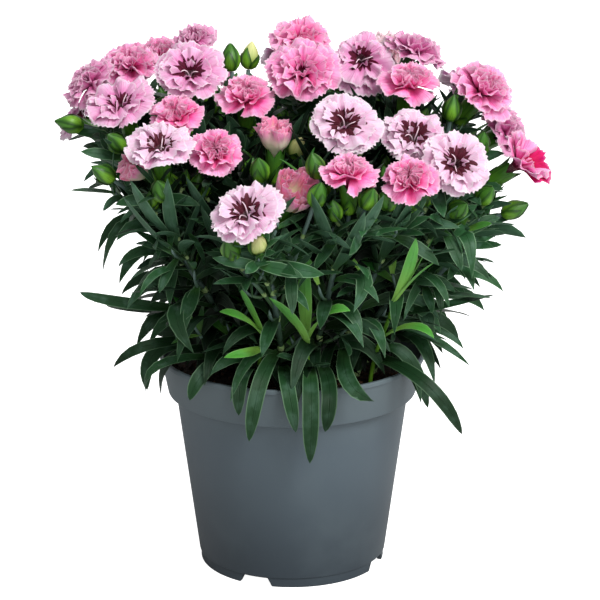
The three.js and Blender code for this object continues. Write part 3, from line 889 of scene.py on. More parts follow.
STEMS = (
    StemPlan((-36, 10), (
        bloom(-99.5, 8, 240.5, 200, 45, DOUBLE, 14.5, MAUVE),
        bloom(-80, 35, 245, 245, 70, DOUBLE, 16.5, PINK),
        bloom(-106, 42, 214, 165, 35, OPEN, 16, PALE),
        bud(-107.5, -2, 220.7, 190, 12),
    ), (
        LeafPath(155, (-80, 2, 170), (-92, 0, 146), 7),
        LeafPath(122, (-76, 4, 126), (-91, 5, 128), 6.5),
    )),
    StemPlan((-18, 23), (
        bloom(-67.4, 75, 242.1, 250, 66, DOUBLE, 13.5, PINK),
        bloom(-49.2, 60, 252, 245, 66, DOUBLE, 11, MAUVE),
    )),
    StemPlan((-20, -6), (
        bloom(-48.2, -5, 247, 270, 48, OPEN, 19.5, BLUSH),
        bloom(-54.3, -29.3, 232.3, 258, 58, DOUBLE, 13, ROSE),
    )),
    StemPlan((-33, -7), (
        bloom(-81, -20, 234.8, 235, 62, OPEN, 20, BLUSH),
        bud(-83, -31, 219, 235, 40),
    ), (
        LeafPath(128, (-83, -15, 135), (-102, -15, 140.5), 6.2, -20),
        LeafPath(112, (-67, -28, 118), (-86, -25, 105.5), 6),
        LeafPath(108, (-63.5, -17, 112.5), (-70, -22, 93), 7.5),
    )),
    StemPlan((-25, -20), (
        bloom(-60.1, -58, 223.4, 265, 67, OPEN, 19, PALE),
        bloom(-72.3, -48, 211.2, 210, 30, OPENING, 8, PEACH),
        bud(-88.7, -40, 205.9, 215, 35),
        bud(-60.3, -60, 203.3, 255, 50),
    ), (
        LeafPath(135, (-54, -50, 142), (-45.4, -62, 124.4), 8.5, 20),
        LeafPath(108, (-60, -44, 114), (-69.2, -47, 100.1), 6),
        LeafPath(112, (-55, -33, 114), (-62.5, -36, 95), 7),
    )),
    StemPlan((-13, -21), (
        bloom(-34.7, -55, 220.4, 270, 45, DOUBLE, 13, ROSE),
    ), (
        LeafPath(112, (-37, -46, 114), (-48, -55, 99), 7.5),
    )),
    StemPlan((-6, -6), (
        bloom(-21.4, -11, 238.2, 270, 68, DOUBLE, 14.3, ROSE),
        bloom(-7.4, -35, 223.3, 280, 78, OPENING, 9, PEACH),
        bud(-29.5, 20, 249.6, 110, 80),
        bud(-20, 26, 249.4, 60, 75, True),
        bud(3, -24, 214.8, 300, 55, True),
        bud(-14.6, -60, 213.1, 260, 60),
    )),
    StemPlan((-4, -34), (
        bloom(-20.4, -95, 201.5, 243, 53, OPEN, 19.5, PALE),
        bloom(1.8, -72, 203.9, 300, 45, OPENING, 11, PEACH),
        bud(-14.7, -92, 186, 280, 40, True),
        bud(-27.8, -90, 183.5, 250, 45),
        bud(12.1, -85, 207.7, 300, 60),
    ), (
        LeafPath(110, (-2, -67, 111), (2, -72, 89), 7),
        LeafPath(118, (-14, -66, 113), (-19.8, -73, 84.9), 7.5),
        LeafPath(165, (10, -66, 181), (26, -72, 176), 7),
    )),
    StemPlan((2, 8), (
        bloom(5.3, -5, 246.8, 270, 48, OPEN, 19.8, PINK),
        bloom(3.9, 45, 253, 268, 60, OPEN, 17, ROSE),
    )),
    StemPlan((16, 17), (
        bloom(33.9, 25, 247, 278, 30, OPEN, 15, BLUSH),
        bloom(47.9, 65, 245.5, 270, 62, DOUBLE, 13, CREAM),
        bud(22.7, 48, 234, 120, 75, True),
    )),
    StemPlan((23, 5), (
        bloom(61.4, 35, 252, 15, 66, DOUBLE, 16.5, MAUVE),
        bloom(56.1, 0, 242.6, 285, 66, DOUBLE, 15, ROSE),
    )),
    StemPlan((9, -17), (
        bloom(24.8, -45, 230.8, 275, 44, OPEN, 19.5, PALE),
    )),
    StemPlan((11, -34), (
        bloom(26, -80, 218, 270, 70, DOUBLE, 13.5, ROSE),
        bud(10.4, -70, 217.4, 240, 65),
        bud(35.4, -85, 205.8, 290, 50),
    ), (
        LeafPath(160, (32, -70, 181), (53, -75, 188), 7),
        LeafPath(150, (33, -66, 164), (28.4, -73, 147.7), 9),
        LeafPath(112, (17.5, -67, 109.5), (15.5, -74, 90), 7.5),
    )),
    StemPlan((22, -22), (
        bloom(56.8, -41, 223.9, 278, 52, OPEN, 17.5, PALE),
        bloom(53.2, -75, 212.6, 265, 50, DOUBLE, 13, ROSE),
        bud(42.5, -72, 201.5, 250, 40),
    ), (
        LeafPath(120, (26, -66, 113), (38.5, -71, 104), 8),
    )),
    StemPlan((31, -15), (
        bloom(75.6, -57, 214.6, 283, 32, OPEN, 18, PALE),
        bud(78, -52, 192, 300, 30),
    ), (
        LeafPath(128, (74, -33, 139), (96.4, -32, 144.2), 7),
        LeafPath(108, (60, -53, 109), (80.8, -52, 81), 8),
    )),
    StemPlan((36, 2), (
        bloom(93, -5, 240.7, 325, 52, DOUBLE, 18, PINK),
        bloom(107, 10, 215.5, 340, 30, DOUBLE, 15, MAUVE),
        bud(76.1, -10, 231.2, 300, 75),
        bud(89.4, -20, 216, 290, 60),
    ), (
        LeafPath(165, (82, -8, 180), (98, -6, 170), 6.5),
        LeafPath(114, (66, -2, 120), (84, -4, 108), 7),
    )),
    StemPlan((39, -10), (
        bloom(107, -25, 206.5, 340, 36, OPEN, 17, PINK),
        bud(91.6, -35, 194.6, 300, 40),
        bud(107.2, -20, 183.5, 350, 25),
    ), (
        LeafPath(150, (80, -40, 176), (84, -50, 157), 8),
        LeafPath(112, (60, -11, 116), (72, -13, 101), 7),
    )),
    StemPlan((-27, 37), (
        bloom(-92, 71, 219, 145, 40, OPEN, 17, PALE),
        bloom(-45, 94, 228, 110, 45, DOUBLE, 14, PINK),
    )),
    StemPlan((8, 38), (
        bloom(0, 97, 232, 90, 45, OPEN, 18, PALE),
        bloom(45, 94, 230, 75, 45, DOUBLE, 14, ROSE),
    )),
    StemPlan((36, 22), (
        bloom(88, 70, 222, 45, 45, OPEN, 17, PALE),
        bloom(105, 38, 212, 20, 35, DOUBLE, 14, PINK),
    )),
)

SHOOTS = (
    StemPlan((9, -45), top=(6.8, -50, 127.5), leaves=(
        LeafPath(126, (6, -55, 150), (6, -58, 170), 7),
        LeafPath(124, (1, -68, 142), (-10.5, -76, 156), 7.5),
        LeafPath(125, (16, -66, 145), (27, -75, 149), 7),
        LeafPath(110, (1, -58, 120), (-7, -64, 124), 6),
        LeafPath(112, (12, -60, 118), (18, -67, 121), 6),
        LeafPath(114, (9, -73, 106), (8.5, -77, 75.5), 8),
    )),
    StemPlan((37, -31), top=(48, -47, 145), leaves=(
        LeafPath(144, (54, -58, 163), (57, -65, 181), 6.5),
        LeafPath(143, (57, -53, 158), (67.5, -60, 169), 7.5),
        LeafPath(142, (59, -46, 163), (66, -48, 177), 6),
        LeafPath(124, (56, -57, 136), (66, -66, 133), 7),
        LeafPath(115, (54, -39, 116), (65, -40, 90), 7.5),
    )),
    StemPlan((-18, -38), top=(-12.5, -57, 131), leaves=(
        LeafPath(130, (-22, -67, 143), (-33, -76, 149), 6.5),
        LeafPath(129, (-19, -63, 146), (-24, -67, 158), 6),
        LeafPath(124, (-21, -68, 126.5), (-31, -79, 128), 6.5),
        LeafPath(110, (-26, -55, 120), (-38, -62, 114), 7),
        LeafPath(109, (-23, -62, 113), (-24.5, -71, 97), 7),
    )),
)

SEED = 20260
CRIMSON_BLOOM = 29  # the bloom with crimson petals on one side
LIPPED_BLOOM = 18  # the bloom whose lowest petal hangs as a lip
LIP = 0.55  # how much longer that petal is


# ---- Leaves ----


CANOPY_FOOT = 95
CANOPY_RISE = 120
CANOPY_SPREADS = (60, 104)  # radius of the foliage at the foot and at the top of that rise
SKYLIGHT = (195, 240)  # heights between which light comes in from above


def daylight(place: Vector) -> float:
    """Says how far a place lies out of the plant's own shade.

    Args:
        place: the place, in millimetres.

    Returns:
        From 0 in its depth to 1 at its outside.
    """
    spread = lerp(*CANOPY_SPREADS, clamp((place.z - CANOPY_FOOT) / CANOPY_RISE))
    outward = smooth(0.5, 1.05, math.hypot(place.x, place.y) / spread)
    return max(outward, 0.6 * smooth(*SKYLIGHT, place.z))


class Blade(Enum):
    """Outlines of a leaf: (share of its length, share of its width) pairs."""

    LANCE = (
        (0, 0.44), (0.1, 0.54), (0.25, 0.84), (0.4, 0.98), (0.52, 1), (0.68, 0.92), (0.82, 0.68),
        (0.92, 0.36), (1, 0),
    )
    STRAP = ((0, 0.5), (0.12, 0.66), (0.3, 0.92), (0.5, 1), (0.76, 0.98), (0.88, 0.78), (0.96, 0.42), (1, 0))


@dataclass
class Leaf:
    """A blade along a curve, channelled at its foot and flat towards its pointed tip."""

    curve: Curve
    across: Vector  # the way that its width lies
    width: float
    blade: Blade = Blade.LANCE
    twist: float = 0.0  # turn about the midrib from foot to tip, in radians
    thickness: float = 0.34  # half of it
    crowding: float = 1.3  # how much closer its rows lie towards the tip
    shift: float = 0.0  # change of its tone
    rows: dict[float, tuple[Vector, Vector, Vector]] = field(default_factory=dict)  # frames found so far

    def frame(self, along: float) -> tuple[Vector, Vector, Vector]:
        """Works out how the blade lies.

        Args:
            along: a share of its length.

        Returns:
            The centre there, and the directions of its side and its upper face.
        """
        if along not in self.rows:
            tangent = self.curve.tangent(along)
            side = Quaternion(tangent, self.twist * along) @ square_to(self.across, tangent)
            self.rows[along] = (self.curve.point(along), side, tangent.cross(side))
        return self.rows[along]

    def crowded(self, v: float) -> float:
        """Share of the blade for a grid's row; the rows are closer at its tip."""
        return 1 - (1 - v) ** self.crowding

    def shade(self, _u: float, v: float) -> float:
        """Tone of the blade: dark in the plant's depth, paler out in the light."""
        place = self.frame(self.crowded(v))[0]
        return clamp(daylight(place) * lerp(0.3, 0.92, smooth(90, 190, place.z)) + self.shift)

    def surface(self, u: float, v: float) -> Vector:
        """Rule of the closed blade, for Build.lay.

        Args:
            u: share of the way round its section.
            v: share of its rows.

        Returns:
            The point.
        """
        across, face = fold(u)
        v = self.crowded(v)
        centre, side, above = self.frame(v)
        half = self.width / 2 * along_table(self.blade.value, v)
        channel = half * across * across * lerp(0.6, 0.16, clamp(v / 0.4))
        thick = self.thickness * face * (1 - abs(2 * v - 1) ** 8)
        return centre + side * (half * across) + above * (channel + thick)

    def strip(self, steps: int = 6) -> tuple[list[Vector], list[tuple[int, ...]]]:
        """Flat outline of the blade, to test what it crosses.

        Args:
            steps: faces along it.

        Returns:
            Its points and its faces.
        """
        points = []
        for step in range(steps + 1):
            centre, side, _ = self.frame(0.12 + 0.88 * step / steps)
            half = side * (self.width / 2 * along_table(self.blade.value, step / steps))
            points += [centre - half, centre + half]
        faces = [(2 * i, 2 * i + 1, 2 * i + 3, 2 * i + 2) for i in range(steps)]
        return points, faces


class Obstacles:
    """What an added leaf has to stay clear of: some of the frame's solids, and the shoots' room."""

    shoot_room = 17.0
    shoot_offset = Vector((0, -12, 16))
    stem_room = 8.0
    stem_offset = Vector((0, -10, 3))
    stem_shares = tuple(0.45 + 0.07 * step for step in range(8))
    highest = 238.0

    def __init__(self, nodes: dict[str, bpy.types.Object]) -> None:
        """Gathers the pot, the medium and the blooms.

        Args:
            nodes: the frame's nodes by name.
        """
        points: list[Vector] = []
        faces: list[tuple[int, ...]] = []
        for name, node in nodes.items():
            if name.startswith(("pot", "growing_medium", "bloom")):
                first = len(points)
                points += [vertex.co / MM for vertex in node.data.vertices]
                faces += [tuple(first + i for i in face.vertices) for face in node.data.polygons]
        self.tree = BVHTree.FromPolygons(points, faces)
        self.rooms = [(Vector(plan.top) + self.shoot_offset, self.shoot_room) for plan in SHOOTS]

    def keep_shown(self, main: Curve) -> None:
        """Keeps the air before the upper half of a front stem free."""
        self.rooms += [(main.point(share) + self.stem_offset, self.stem_room) for share in self.stem_shares]

    def clear_of(self, leaf: Leaf) -> bool:
        """Tests a leaf.

        Args:
            leaf: the leaf.

        Returns:
            Whether it crosses no solid and leaves the shoots and front stems their room.
        """
        for share in (0.5, 0.75, 1):
            place = leaf.curve.point(share)
            if place.z > self.highest or any((place - at).length < room for at, room in self.rooms):
                return False
        return not self.tree.overlap(BVHTree.FromPolygons(*leaf.strip()))

    def far_from(self, place: Vector, reach: float) -> bool:
        """Says whether none of them is within reach of a place."""
        return self.tree.find_nearest(place, reach)[0] is None


@dataclass(frozen=True)
class PairRule:
    """Form of a leaf of a pair."""

    length: float
    width: float
    spread: float  # angle between its foot and the stem, in degrees
    droop: float  # rise of its outer half against its way outwards, below 0 where it hangs

    def towards(self, other: PairRule, share: float) -> PairRule:
        """Blends two rules.

        Args:
            other: the second rule.
            share: how much of it counts.

        Returns:
            The rule between them.
        """
        return PairRule(
            lerp(self.length, other.length, share), lerp(self.width, other.width, share),
            lerp(self.spread, other.spread, share), lerp(self.droop, other.droop, share),
        )


LOW_PAIR = PairRule(58, 8.5, 48, -1.1)
HIGH_PAIR = PairRule(32, 6, 42, 0.3)
LOW_BETWEEN = PairRule(52, 8.6, 42, -1.3)
HIGH_BETWEEN = PairRule(32, 6.2, 40, -0.7)
RISING = PairRule(46, 7.6, 26, 1.6)


@dataclass
class Foliage:
    """Where the leaves of one stem go: the pairs of its solid, and the pairs between them."""

    main: Curve
    index: int
    obstacles: Obstacles
    pairs: int = 4
    first: float = 0.1  # share of the stem where the lowest pair leaves it, and the highest
    last: float = 0.92
    turns: tuple[float, ...] = (0, 35)  # turns and sizes that the solid's leaves may have taken
    scales: tuple[float, ...] = (1, 0.75)
    added_turns: tuple[float, ...] = (0, 25, -25, 50, -50, 75)
    added_roll: float = 25
    faced: float = 35  # roll of the leaves at the sides towards the front, in degrees
    turned: float = 0.9  # twist of the added leaves at the sides, in radians
    root_offset: float = 0.4
    found_within: float = 0.3  # how near the tip of a leaf lies to a point of the solid that has it
    strap_below: float = 100
    rising_places: tuple[float, ...] = (0.8, 0.88, 0.96, 1.0)
    rising_sizes: tuple[float, ...] = (1.1, 0.9, 0.7, 0.5)
    between: tuple[float, ...] = (0.02, 0.06, 0.16, 0.24, 0.31, 0.43, 0.52, 0.61, 0.7, 0.8, 0.88)

    def leading(self, path: LeafPath) -> Leaf:
        """Shapes a leaf along a path that is given.

        Args:
            path: the path.

        Returns:
            The leaf.
        """
        low, high = 0.0, 1.0
        for _ in range(30):
            middle = (low + high) / 2
            low, high = (middle, high) if on_axis(self.main, middle).z < path.height else (low, middle)
        through, tip = Vector(path.through), Vector(path.tip)
        start = on_axis(self.main, low)
        start += square_to(through - start, self.main.tangent(low)) * self.root_offset
        bend = through * 2 - start * 0.5 - tip * 0.5
        chord = (tip - start).normalized()
        across = Vector((-chord.y, chord.x, 0)).normalized()
        across = Quaternion(chord, math.radians(path.roll + self.faced * chord.x)) @ across
        blade = Blade.STRAP if tip.z < self.strap_below else Blade.LANCE
        return Leaf(Curve((self.main.point(low), bend, tip)), across, path.width, blade)

    def paired(self, along: float, azimuth: float, rule: PairRule) -> Leaf:
        """Shapes a leaf that spreads from a stem, then rises or droops.

        Args:
            along: share of it where the leaf leaves.
            azimuth: the way that it points, in degrees.
            rule: its form.

        Returns:
            The leaf.
        """
        start, tangent, outward = on_axis(self.main, along), self.main.tangent(along), heading(azimuth)
        aside = square_to(outward, tangent)
        start = start + aside * self.root_offset
        angle = math.radians(rule.spread)
        bend = start + (tangent * math.cos(angle) + aside * math.sin(angle)) * 0.5 * rule.length
        tip = bend + (outward + UP * rule.droop).normalized() * 0.55 * rule.length
        return Leaf(Curve((self.main.point(along), bend, tip)), heading(azimuth + 90), rule.width)

    def of_solid(self, tips: kdtree.KDTree, plan: StemPlan) -> list[Leaf]:
        """Leaves that the stem's own solid has.

        Args:
            tips: the solid's points, in millimetres.
            plan: the stem's plan.

        Returns:
            The leaves whose tip is a point of the solid.
        """
        def held(leaf: Leaf) -> bool:
            """Says whether the solid has a leaf."""
            return tips.find(leaf.curve.controls[-1])[2] < self.found_within
        leaves = [leaf for leaf in (self.leading(path) for path in plan.leaves) if held(leaf)]
        draws = Draws(SEED + 97 * self.index)
        start = draws.one() * 180
        for level in range(0 if plan.top else self.pairs):
            share = level / (self.pairs - 1)
            rule = LOW_PAIR.towards(HIGH_PAIR, share)
            for side in (0, 180):
                vary = 0.8 + 0.4 * draws.one()
                lean = 30 * (draws.one() - 0.5)
                azimuth = start + 90 * level + side + lean
                options = (
                    self.paired(lerp(self.first, self.last, share), azimuth + turn, PairRule(
                        rule.length * vary * size, rule.width, rule.spread, rule.droop + lean / 40))
                    for size in self.scales for turn in self.turns
                )
                leaves += [leaf for leaf in options if held(leaf)][:1]
        return leaves

    def arched(self, along: float, azimuth: float, rule: PairRule) -> Leaf:
        """Shapes a leaf that leaves a stem as a paired one does, and arches over to a hanging tip.

        Args:
            along: share of it where the leaf leaves.
            azimuth: the way that it points, in degrees.
            rule: its form.

        Returns:
            The leaf.
        """
        leaf = self.paired(along, azimuth, rule)
        start, bend, tip = leaf.curve.controls
        crest = bend.lerp(tip, 0.5) + UP * 0.16 * rule.length
        leaf.curve = Curve((start, start.lerp(bend, 0.8), crest, tip - UP * 0.1 * rule.length))
        return leaf

    def rising(self) -> list[Leaf]:
        """Shapes upright leaves at the top of a stem in the plant's middle, below the blooms.

        Returns:
            The leaves that have room.
        """
        draws = Draws(SEED + 53 * self.index + 1)
        start = draws.one() * 180
        leaves = []
        for level, share in enumerate(self.rising_places):
            for side in (0, 120, 240):
                for size in self.rising_sizes:
                    azimuth = start + 60 * level + side + draws.between(-20, 20)
                    width = RISING.width * draws.between(0.8, 1.1)
                    spread = RISING.spread + draws.between(-8, 14)
                    rule = PairRule(RISING.length * size, width, spread, RISING.droop)
                    leaf = self.paired(share, azimuth, rule)
                    if self.obstacles.clear_of(leaf):
                        leaves.append(leaf)
                        break
        return leaves

    def added(self) -> list[Leaf]:
        """Shapes leaves between those of the solid, each turned clear of the pot and the blooms.

        Returns:
            The leaves that have room.
        """
        draws = Draws(SEED + 31 * self.index + 7)
        start = draws.one() * 180
        leaves = []
        for level, share in enumerate(self.between):
            rule = LOW_BETWEEN.towards(HIGH_BETWEEN, share)
            for side in (0, 180):
                azimuth = start + 90 * level + side + draws.between(-20, 20)
                size = rule.length * draws.between(0.7, 1.1)
                droop = rule.droop + draws.between(-0.7, 0.7)
                roll = draws.between(-self.added_roll, self.added_roll)
                roll = math.radians(roll + self.faced * heading(azimuth).x)
                for turn in self.added_turns:
                    leaf = self.arched(share, azimuth + turn, PairRule(
                        size, rule.width * draws.between(0.75, 1.05), rule.spread, droop))
                    leaf.across = Quaternion(heading(azimuth + turn), roll) @ leaf.across
                    leaf.twist = self.turned * heading(azimuth + turn).x
                    if self.obstacles.clear_of(leaf):
                        leaves.append(leaf)
                        break
        return leaves


STATIONS = (0, 0.25, 0.6, 1)  # shares of a main axis between which its solid is straight


def on_axis(main: Curve, share: float) -> Vector:
    """Finds a point of a solid's main axis.

    Args:
        main: the curve that the axis follows.
        share: how far along it lies.

    Returns:
        The point, on the straight stretch between two stations.
    """
    after = max(1, next(i for i, station in enumerate(STATIONS) if station >= share))
    low, high = STATIONS[after - 1], STATIONS[after]
    return main.point(low).lerp(main.point(high), (share - low) / (high - low))


# ---- Green pieces ----


@dataclass
class Stem:
    """A stem with its leaves, side stalks, calyces and buds, in place of its solid."""

    plan: StemPlan
    name: str
    index: int
    obstacles: Obstacles
    root_height: float = 88.8
    hang_share: float = 0.74  # how far up to its heads the main axis reaches
    first_fork: float = 0.96  # share of the main axis where the second head's stalk leaves it
    fork_step: float = 0.12  # how much lower each next one does
    stalk_reach: float = 0.38
    long_leaf: float = 26  # length above which a leaf has more rows
    main_radius: float = 1.5
    side_radius: float = 0.95
    collar_reach: float = 2.2
    scale_count: int = 4
    calyx_scales: tuple[float, float] = (8.5, 11.5)  # lengths of the outer and of the inner scales
    bud_scales: tuple[float, float] = (10.5, 14.4)
    showing_scales: tuple[float, float] = (8, 10.5)  # of a bud whose petal tips show
    calyx_teeth: int = 5
    tooth_height: float = 4.8
    calyx_ribs: int = 10
    tuft_places: tuple[float, ...] = (0.08, 0.2, 0.33, 0.48, 0.66, 0.84, 0.98)
    tuft_lengths: tuple[float, float] = (34, 18)  # at the foot and at the top of the main axis
    tuft_turn: float = 137
    tuft_levels: tuple[float, ...] = (0.4, 0.7, 1.0)  # where the pairs of a side shoot stand
    tuft_leaves: tuple[float, float] = (24, 15)  # lengths in its lowest and in its highest pair
    tuft_spreads: tuple[float, float] = (58, 24)  # how far they stand off it, in degrees
    stalk_tufts: tuple[float, ...] = (0.25, 0.5, 0.75)  # where a head's stalk has side shoots
    stalk_tuft_length: float = 15
    side_bud_turns: tuple[float, ...] = (0, 130, 230)
    fresh_low: float = 0.42  # share of the side shoots that are young, below and above a height
    fresh_high: float = 0.05
    fresh_below: float = 150
    old_below: float = 126  # height of the tip below which a young shoot's leaf is an old one
    middle: float = 66  # distance from the pot's axis within which the plant is filled up
    front: float = -45  # y of the heads' middle below which a stem stands in front
    bract_places: tuple[tuple[float, float, float, bool], ...] = (
        # share of a stalk, size, shortest stalk that has them, whether they only fill the middle
        (0.3, 28, 24, False), (0.42, 32, 20, True), (0.55, 24, 18, False), (0.68, 30, 14, True),
        (0.82, 16, 10, False), (0.9, 24, 12, True),
    )

    @cached_property
    def build(self) -> Build:
        """The mesh that it is made in."""
        return Build()

    @cached_property
    def draws(self) -> Draws:
        """Its own draws."""
        return Draws(SEED + 11 * self.index + 3)

    @cached_property
    def main(self) -> Curve:
        """The main axis."""
        root = Vector((*self.plan.root, self.root_height))
        if self.young:
            top = centre = Vector(self.plan.top)
        else:
            feet = [head.foot for head in self.plan.heads]
            centre = sum(feet, Vector()) / len(feet)
            top = root.lerp(centre, self.hang_share)
        span = (top - root).length
        onward = (centre - root).normalized()
        return Curve((root, root + UP * 0.45 * span, top - onward * 0.3 * span, top))

    @cached_property
    def foliage(self) -> Foliage:
        """Where its leaves go."""
        return Foliage(self.main, self.index, self.obstacles)

    @property
    def young(self) -> bool:
        """Whether it is a shoot with no bloom yet."""
        return self.plan.top is not None

    @property
    def in_front(self) -> bool:
        """Whether its heads stand at the plant's front."""
        heads = self.plan.heads
        return bool(heads) and sum(head.centre.y for head in heads) / len(heads) < self.front

    def shade(self, _u: float, v: float) -> float:
        """Tone of the main axis: dark in the plant's depth."""
        return lerp(0.1, 0.85, daylight(self.main.point(v)))

    def stalk(self, number: int) -> Curve:
        """Works out a head's stalk.

        Args:
            number: the head's place in the plan; the first one's stalk goes on from the main axis.

        Returns:
            The stalk's centre line.
        """
        head = self.plan.heads[number]
        leave = self.first_fork - self.fork_step * (number - 1) if number else 1.0
        start, foot = on_axis(self.main, leave), head.foot
        reach = self.stalk_reach * (foot - start).length
        along = self.main.tangent(leave)
        outset = (foot - start).normalized().lerp(along, 0.3 if number else 1.0).normalized()
        start = self.main.point(leave)
        return Curve((start, start + outset * reach, foot - head.facing * reach, foot))

    def add_twig(self, curve: Curve, radii: Table) -> None:
        """Adds a thin limb along a curve."""
        self.build.lay(6, 6, tube(curve, radii), Wear.STALK, 0.7)

    def add_leaf(self, leaf: Leaf, finish: Wear = Wear.LEAF) -> None:
        """Adds a leaf.

        Args:
            leaf: the leaf; its twist and tone are varied.
            finish: what it wears, unless it is a strap.
        """
        leaf.twist += self.draws.between(-0.6, 0.6)
        leaf.shift += self.draws.between(-0.3, 0.26)
        length = (leaf.curve.point(1) - leaf.curve.point(0)).length
        if leaf.blade is Blade.STRAP:
            self.build.lay(8, 14, leaf.surface, Wear.OLD, leaf.shade)
        else:
            self.build.lay(6, 8 if length > self.long_leaf else 5, leaf.surface, finish, leaf.shade)

    def add_tuft(self, axis: Curve, share: float, length: float, azimuth: float) -> None:
        """Adds a leafy side shoot: pairs of leaves up a short stalk, the last pair upright.

        Args:
            axis: what it grows from.
            share: where it leaves that axis.
            length: about how long it is.
            azimuth: the way it leans, in degrees.
        """
        start, along = axis.point(share), axis.tangent(share)
        outward = square_to(heading(azimuth), along)
        length *= self.draws.between(0.75, 1.25)
        bend = start + (along * 0.5 + outward * 0.85) * 0.5 * length
        shoot = Curve((start, bend, bend + (UP + outward * 0.35) * 0.5 * length))
        fresh = self.draws.one() < (self.fresh_low if start.z < self.fresh_below else self.fresh_high)
        if not self.obstacles.far_from(shoot.point(1), 3):
            return
        self.add_twig(shoot, ((0, 0), (0.03, self.side_radius), (0.98, 0.7), (1, 0)))
        turn = self.draws.between(0, 180)
        for level, place in enumerate(self.tuft_levels):
            at, onward = shoot.point(place), shoot.tangent(place)
            size = lerp(*self.tuft_leaves, level / 2) * self.draws.between(0.8, 1.2)
            spread = math.radians(lerp(*self.tuft_spreads, level / 2) + self.draws.between(-8, 8))
            for side in (0, 180):
                away = square_to(heading(turn + 90 * level + side + self.draws.between(-12, 12)), onward)
                middle = at + (onward * math.cos(spread) + away * math.sin(spread)) * 0.5 * size
                way = away * 0.9 + onward * lerp(0.1, 1.4, level / 2) + UP * self.draws.between(-0.9, 0.1)
                tip = middle + way.normalized() * 0.5 * size
                leaf = Leaf(Curve((at, middle, tip)), onward.cross(away), self.draws.between(5.2, 7) - level)
                if self.obstacles.clear_of(leaf):
                    self.add_leaf(leaf, Wear.FRESH if fresh and level else Wear.LEAF)

    def add_collar(self, axis: Curve, share: float, radius: float) -> None:
        """Adds the swollen joint where leaves leave a stem.

        Args:
            axis: the stem's or stalk's axis.
            share: where on it the joint is.
            radius: of the stem there.
        """
        at, reach = axis.point(share), axis.tangent(share) * self.collar_reach
        radii = ((0, 0), (0.06, radius), (0.4, radius * 1.14), (0.7, radius * 1.2), (0.94, radius), (1, 0))
        self.build.lay(8, 6, tube(Curve((at - reach, at + reach)), radii), Wear.NODE, 0.6)

    def add_scales(self, head: Head, radii: Table, roll: float, lengths: tuple[float, float],
                   flare: float) -> None:
        """Adds the pointed scales that clasp a calyx or bud.

        Args:
            head: the calyx's or bud's head.
            radii: (distance from the foot, radius) pairs of what they clasp.
            roll: turn of the first scale, in radians.
            lengths: length of the outer and of the inner scales.
            flare: how far a tip stands off.
        """
        turn, foot = head.turn, head.foot
        for number in range(self.scale_count):
            inner = number % 2
            length = lengths[inner]
            azimuth = roll + math.pi / 2 * number

            def surface(u: float, v: float) -> Vector:
                """Rule of one scale."""
                across, face = fold(u)
                height = 0.2 + length * v
                radius = along_table(radii, height) + 0.5 - 0.25 * inner + flare * v ** 3
                width = 3.5 * along_table(((0, 0.8), (0.35, 1), (0.7, 0.6), (0.9, 0.2), (1, 0)), v)
                spread = across * min(1.2, width / max(radius, 1.5))
                thick = 0.22 * face * (1 - abs(2 * v - 1) ** 6)
                return foot + turn @ polar(radius + thick, azimuth + spread, height) * head.size
            self.build.lay(10, 6, surface, Wear.SCALE, 0.4 + 0.4 * inner)

    def add_calyx(self, head: Head, roll: float) -> None:
        """Adds a calyx: a ribbed tube with pointed teeth, and its scales.

        Args:
            head: the bloom that it holds.
            roll: its turn, in radians.
        """
        turn, foot = head.turn, head.foot

        def surface(u: float, v: float) -> Vector:
            """Rule of the tube, up its outside and then down inside its mouth."""
            inside = v > 0.8
            share = (1 - v) / 0.2 if inside else v / 0.8
            tooth = 1 - abs(2 * ((self.calyx_teeth * u + 0.001) % 1) - 1)
            rim = CALYX_LENGTH - 1.2 + self.tooth_height * tooth
            height = rim * (share if not inside else 0.6 + 0.4 * share)
            rib = 0.12 * math.cos(2 * math.pi * self.calyx_ribs * u)
            radius = along_table(CALYX_RADII, height) + rib - (0.4 if inside else 0)
            return foot + turn @ polar(max(0.0, radius), roll + 2 * math.pi * u, height)
        self.build.lay(30, 10, surface, Wear.CALYX, 0.6)
        self.add_scales(head, CALYX_RADII, roll, self.calyx_scales, 0.9)

    def add_bud(self, head: Head, roll: float) -> None:
        """Adds a closed bud and its scales.

        Args:
            head: the bud.
            roll: turn of its scales, in radians.
        """
        turn, foot = head.turn, head.foot
        length = BUD_RADII[-1][0]

        def surface(u: float, v: float) -> Vector:
            """Rule of the bud, from its foot to its tip."""
            height = length * (1 - math.cos(math.pi * v)) / 2
            return foot + turn @ polar(along_table(BUD_RADII, height), 2 * math.pi * u, height) * head.size
        self.build.lay(12, 8, surface, Wear.BUD_TIP if head.showing else Wear.CALYX, 0.7)
        lengths = self.showing_scales if head.showing else self.bud_scales
        self.add_scales(head, BUD_RADII, roll, lengths, 0.5 if head.showing else 0.0)

    def add_bracts(self, stalk: Curve, share: float, size: float) -> None:
        """Adds a pair of small leaves to a stalk.

        Args:
            stalk: the stalk.
            share: where on it they stand.
            size: about how long they are.
        """
        start = self.draws.between(0, 180)
        self.add_collar(stalk, share, self.side_radius)
        for side in (0, 180):
            at, along = stalk.point(share), stalk.tangent(share)
            outward = square_to(heading(start + side), along)
            length = size * self.draws.between(0.75, 1.25)
            bend = at + (along * 0.8 + outward * 0.55) * 0.5 * length
            way = outward * 0.8 + along * 0.5 + UP * self.draws.between(-0.6, 0.4)
            tip = bend + way.normalized() * 0.5 * length
            leaf = Leaf(Curve((at, bend, tip)), along.cross(outward), size * self.draws.between(0.2, 0.27))
            if self.obstacles.clear_of(leaf):
                self.add_leaf(leaf)

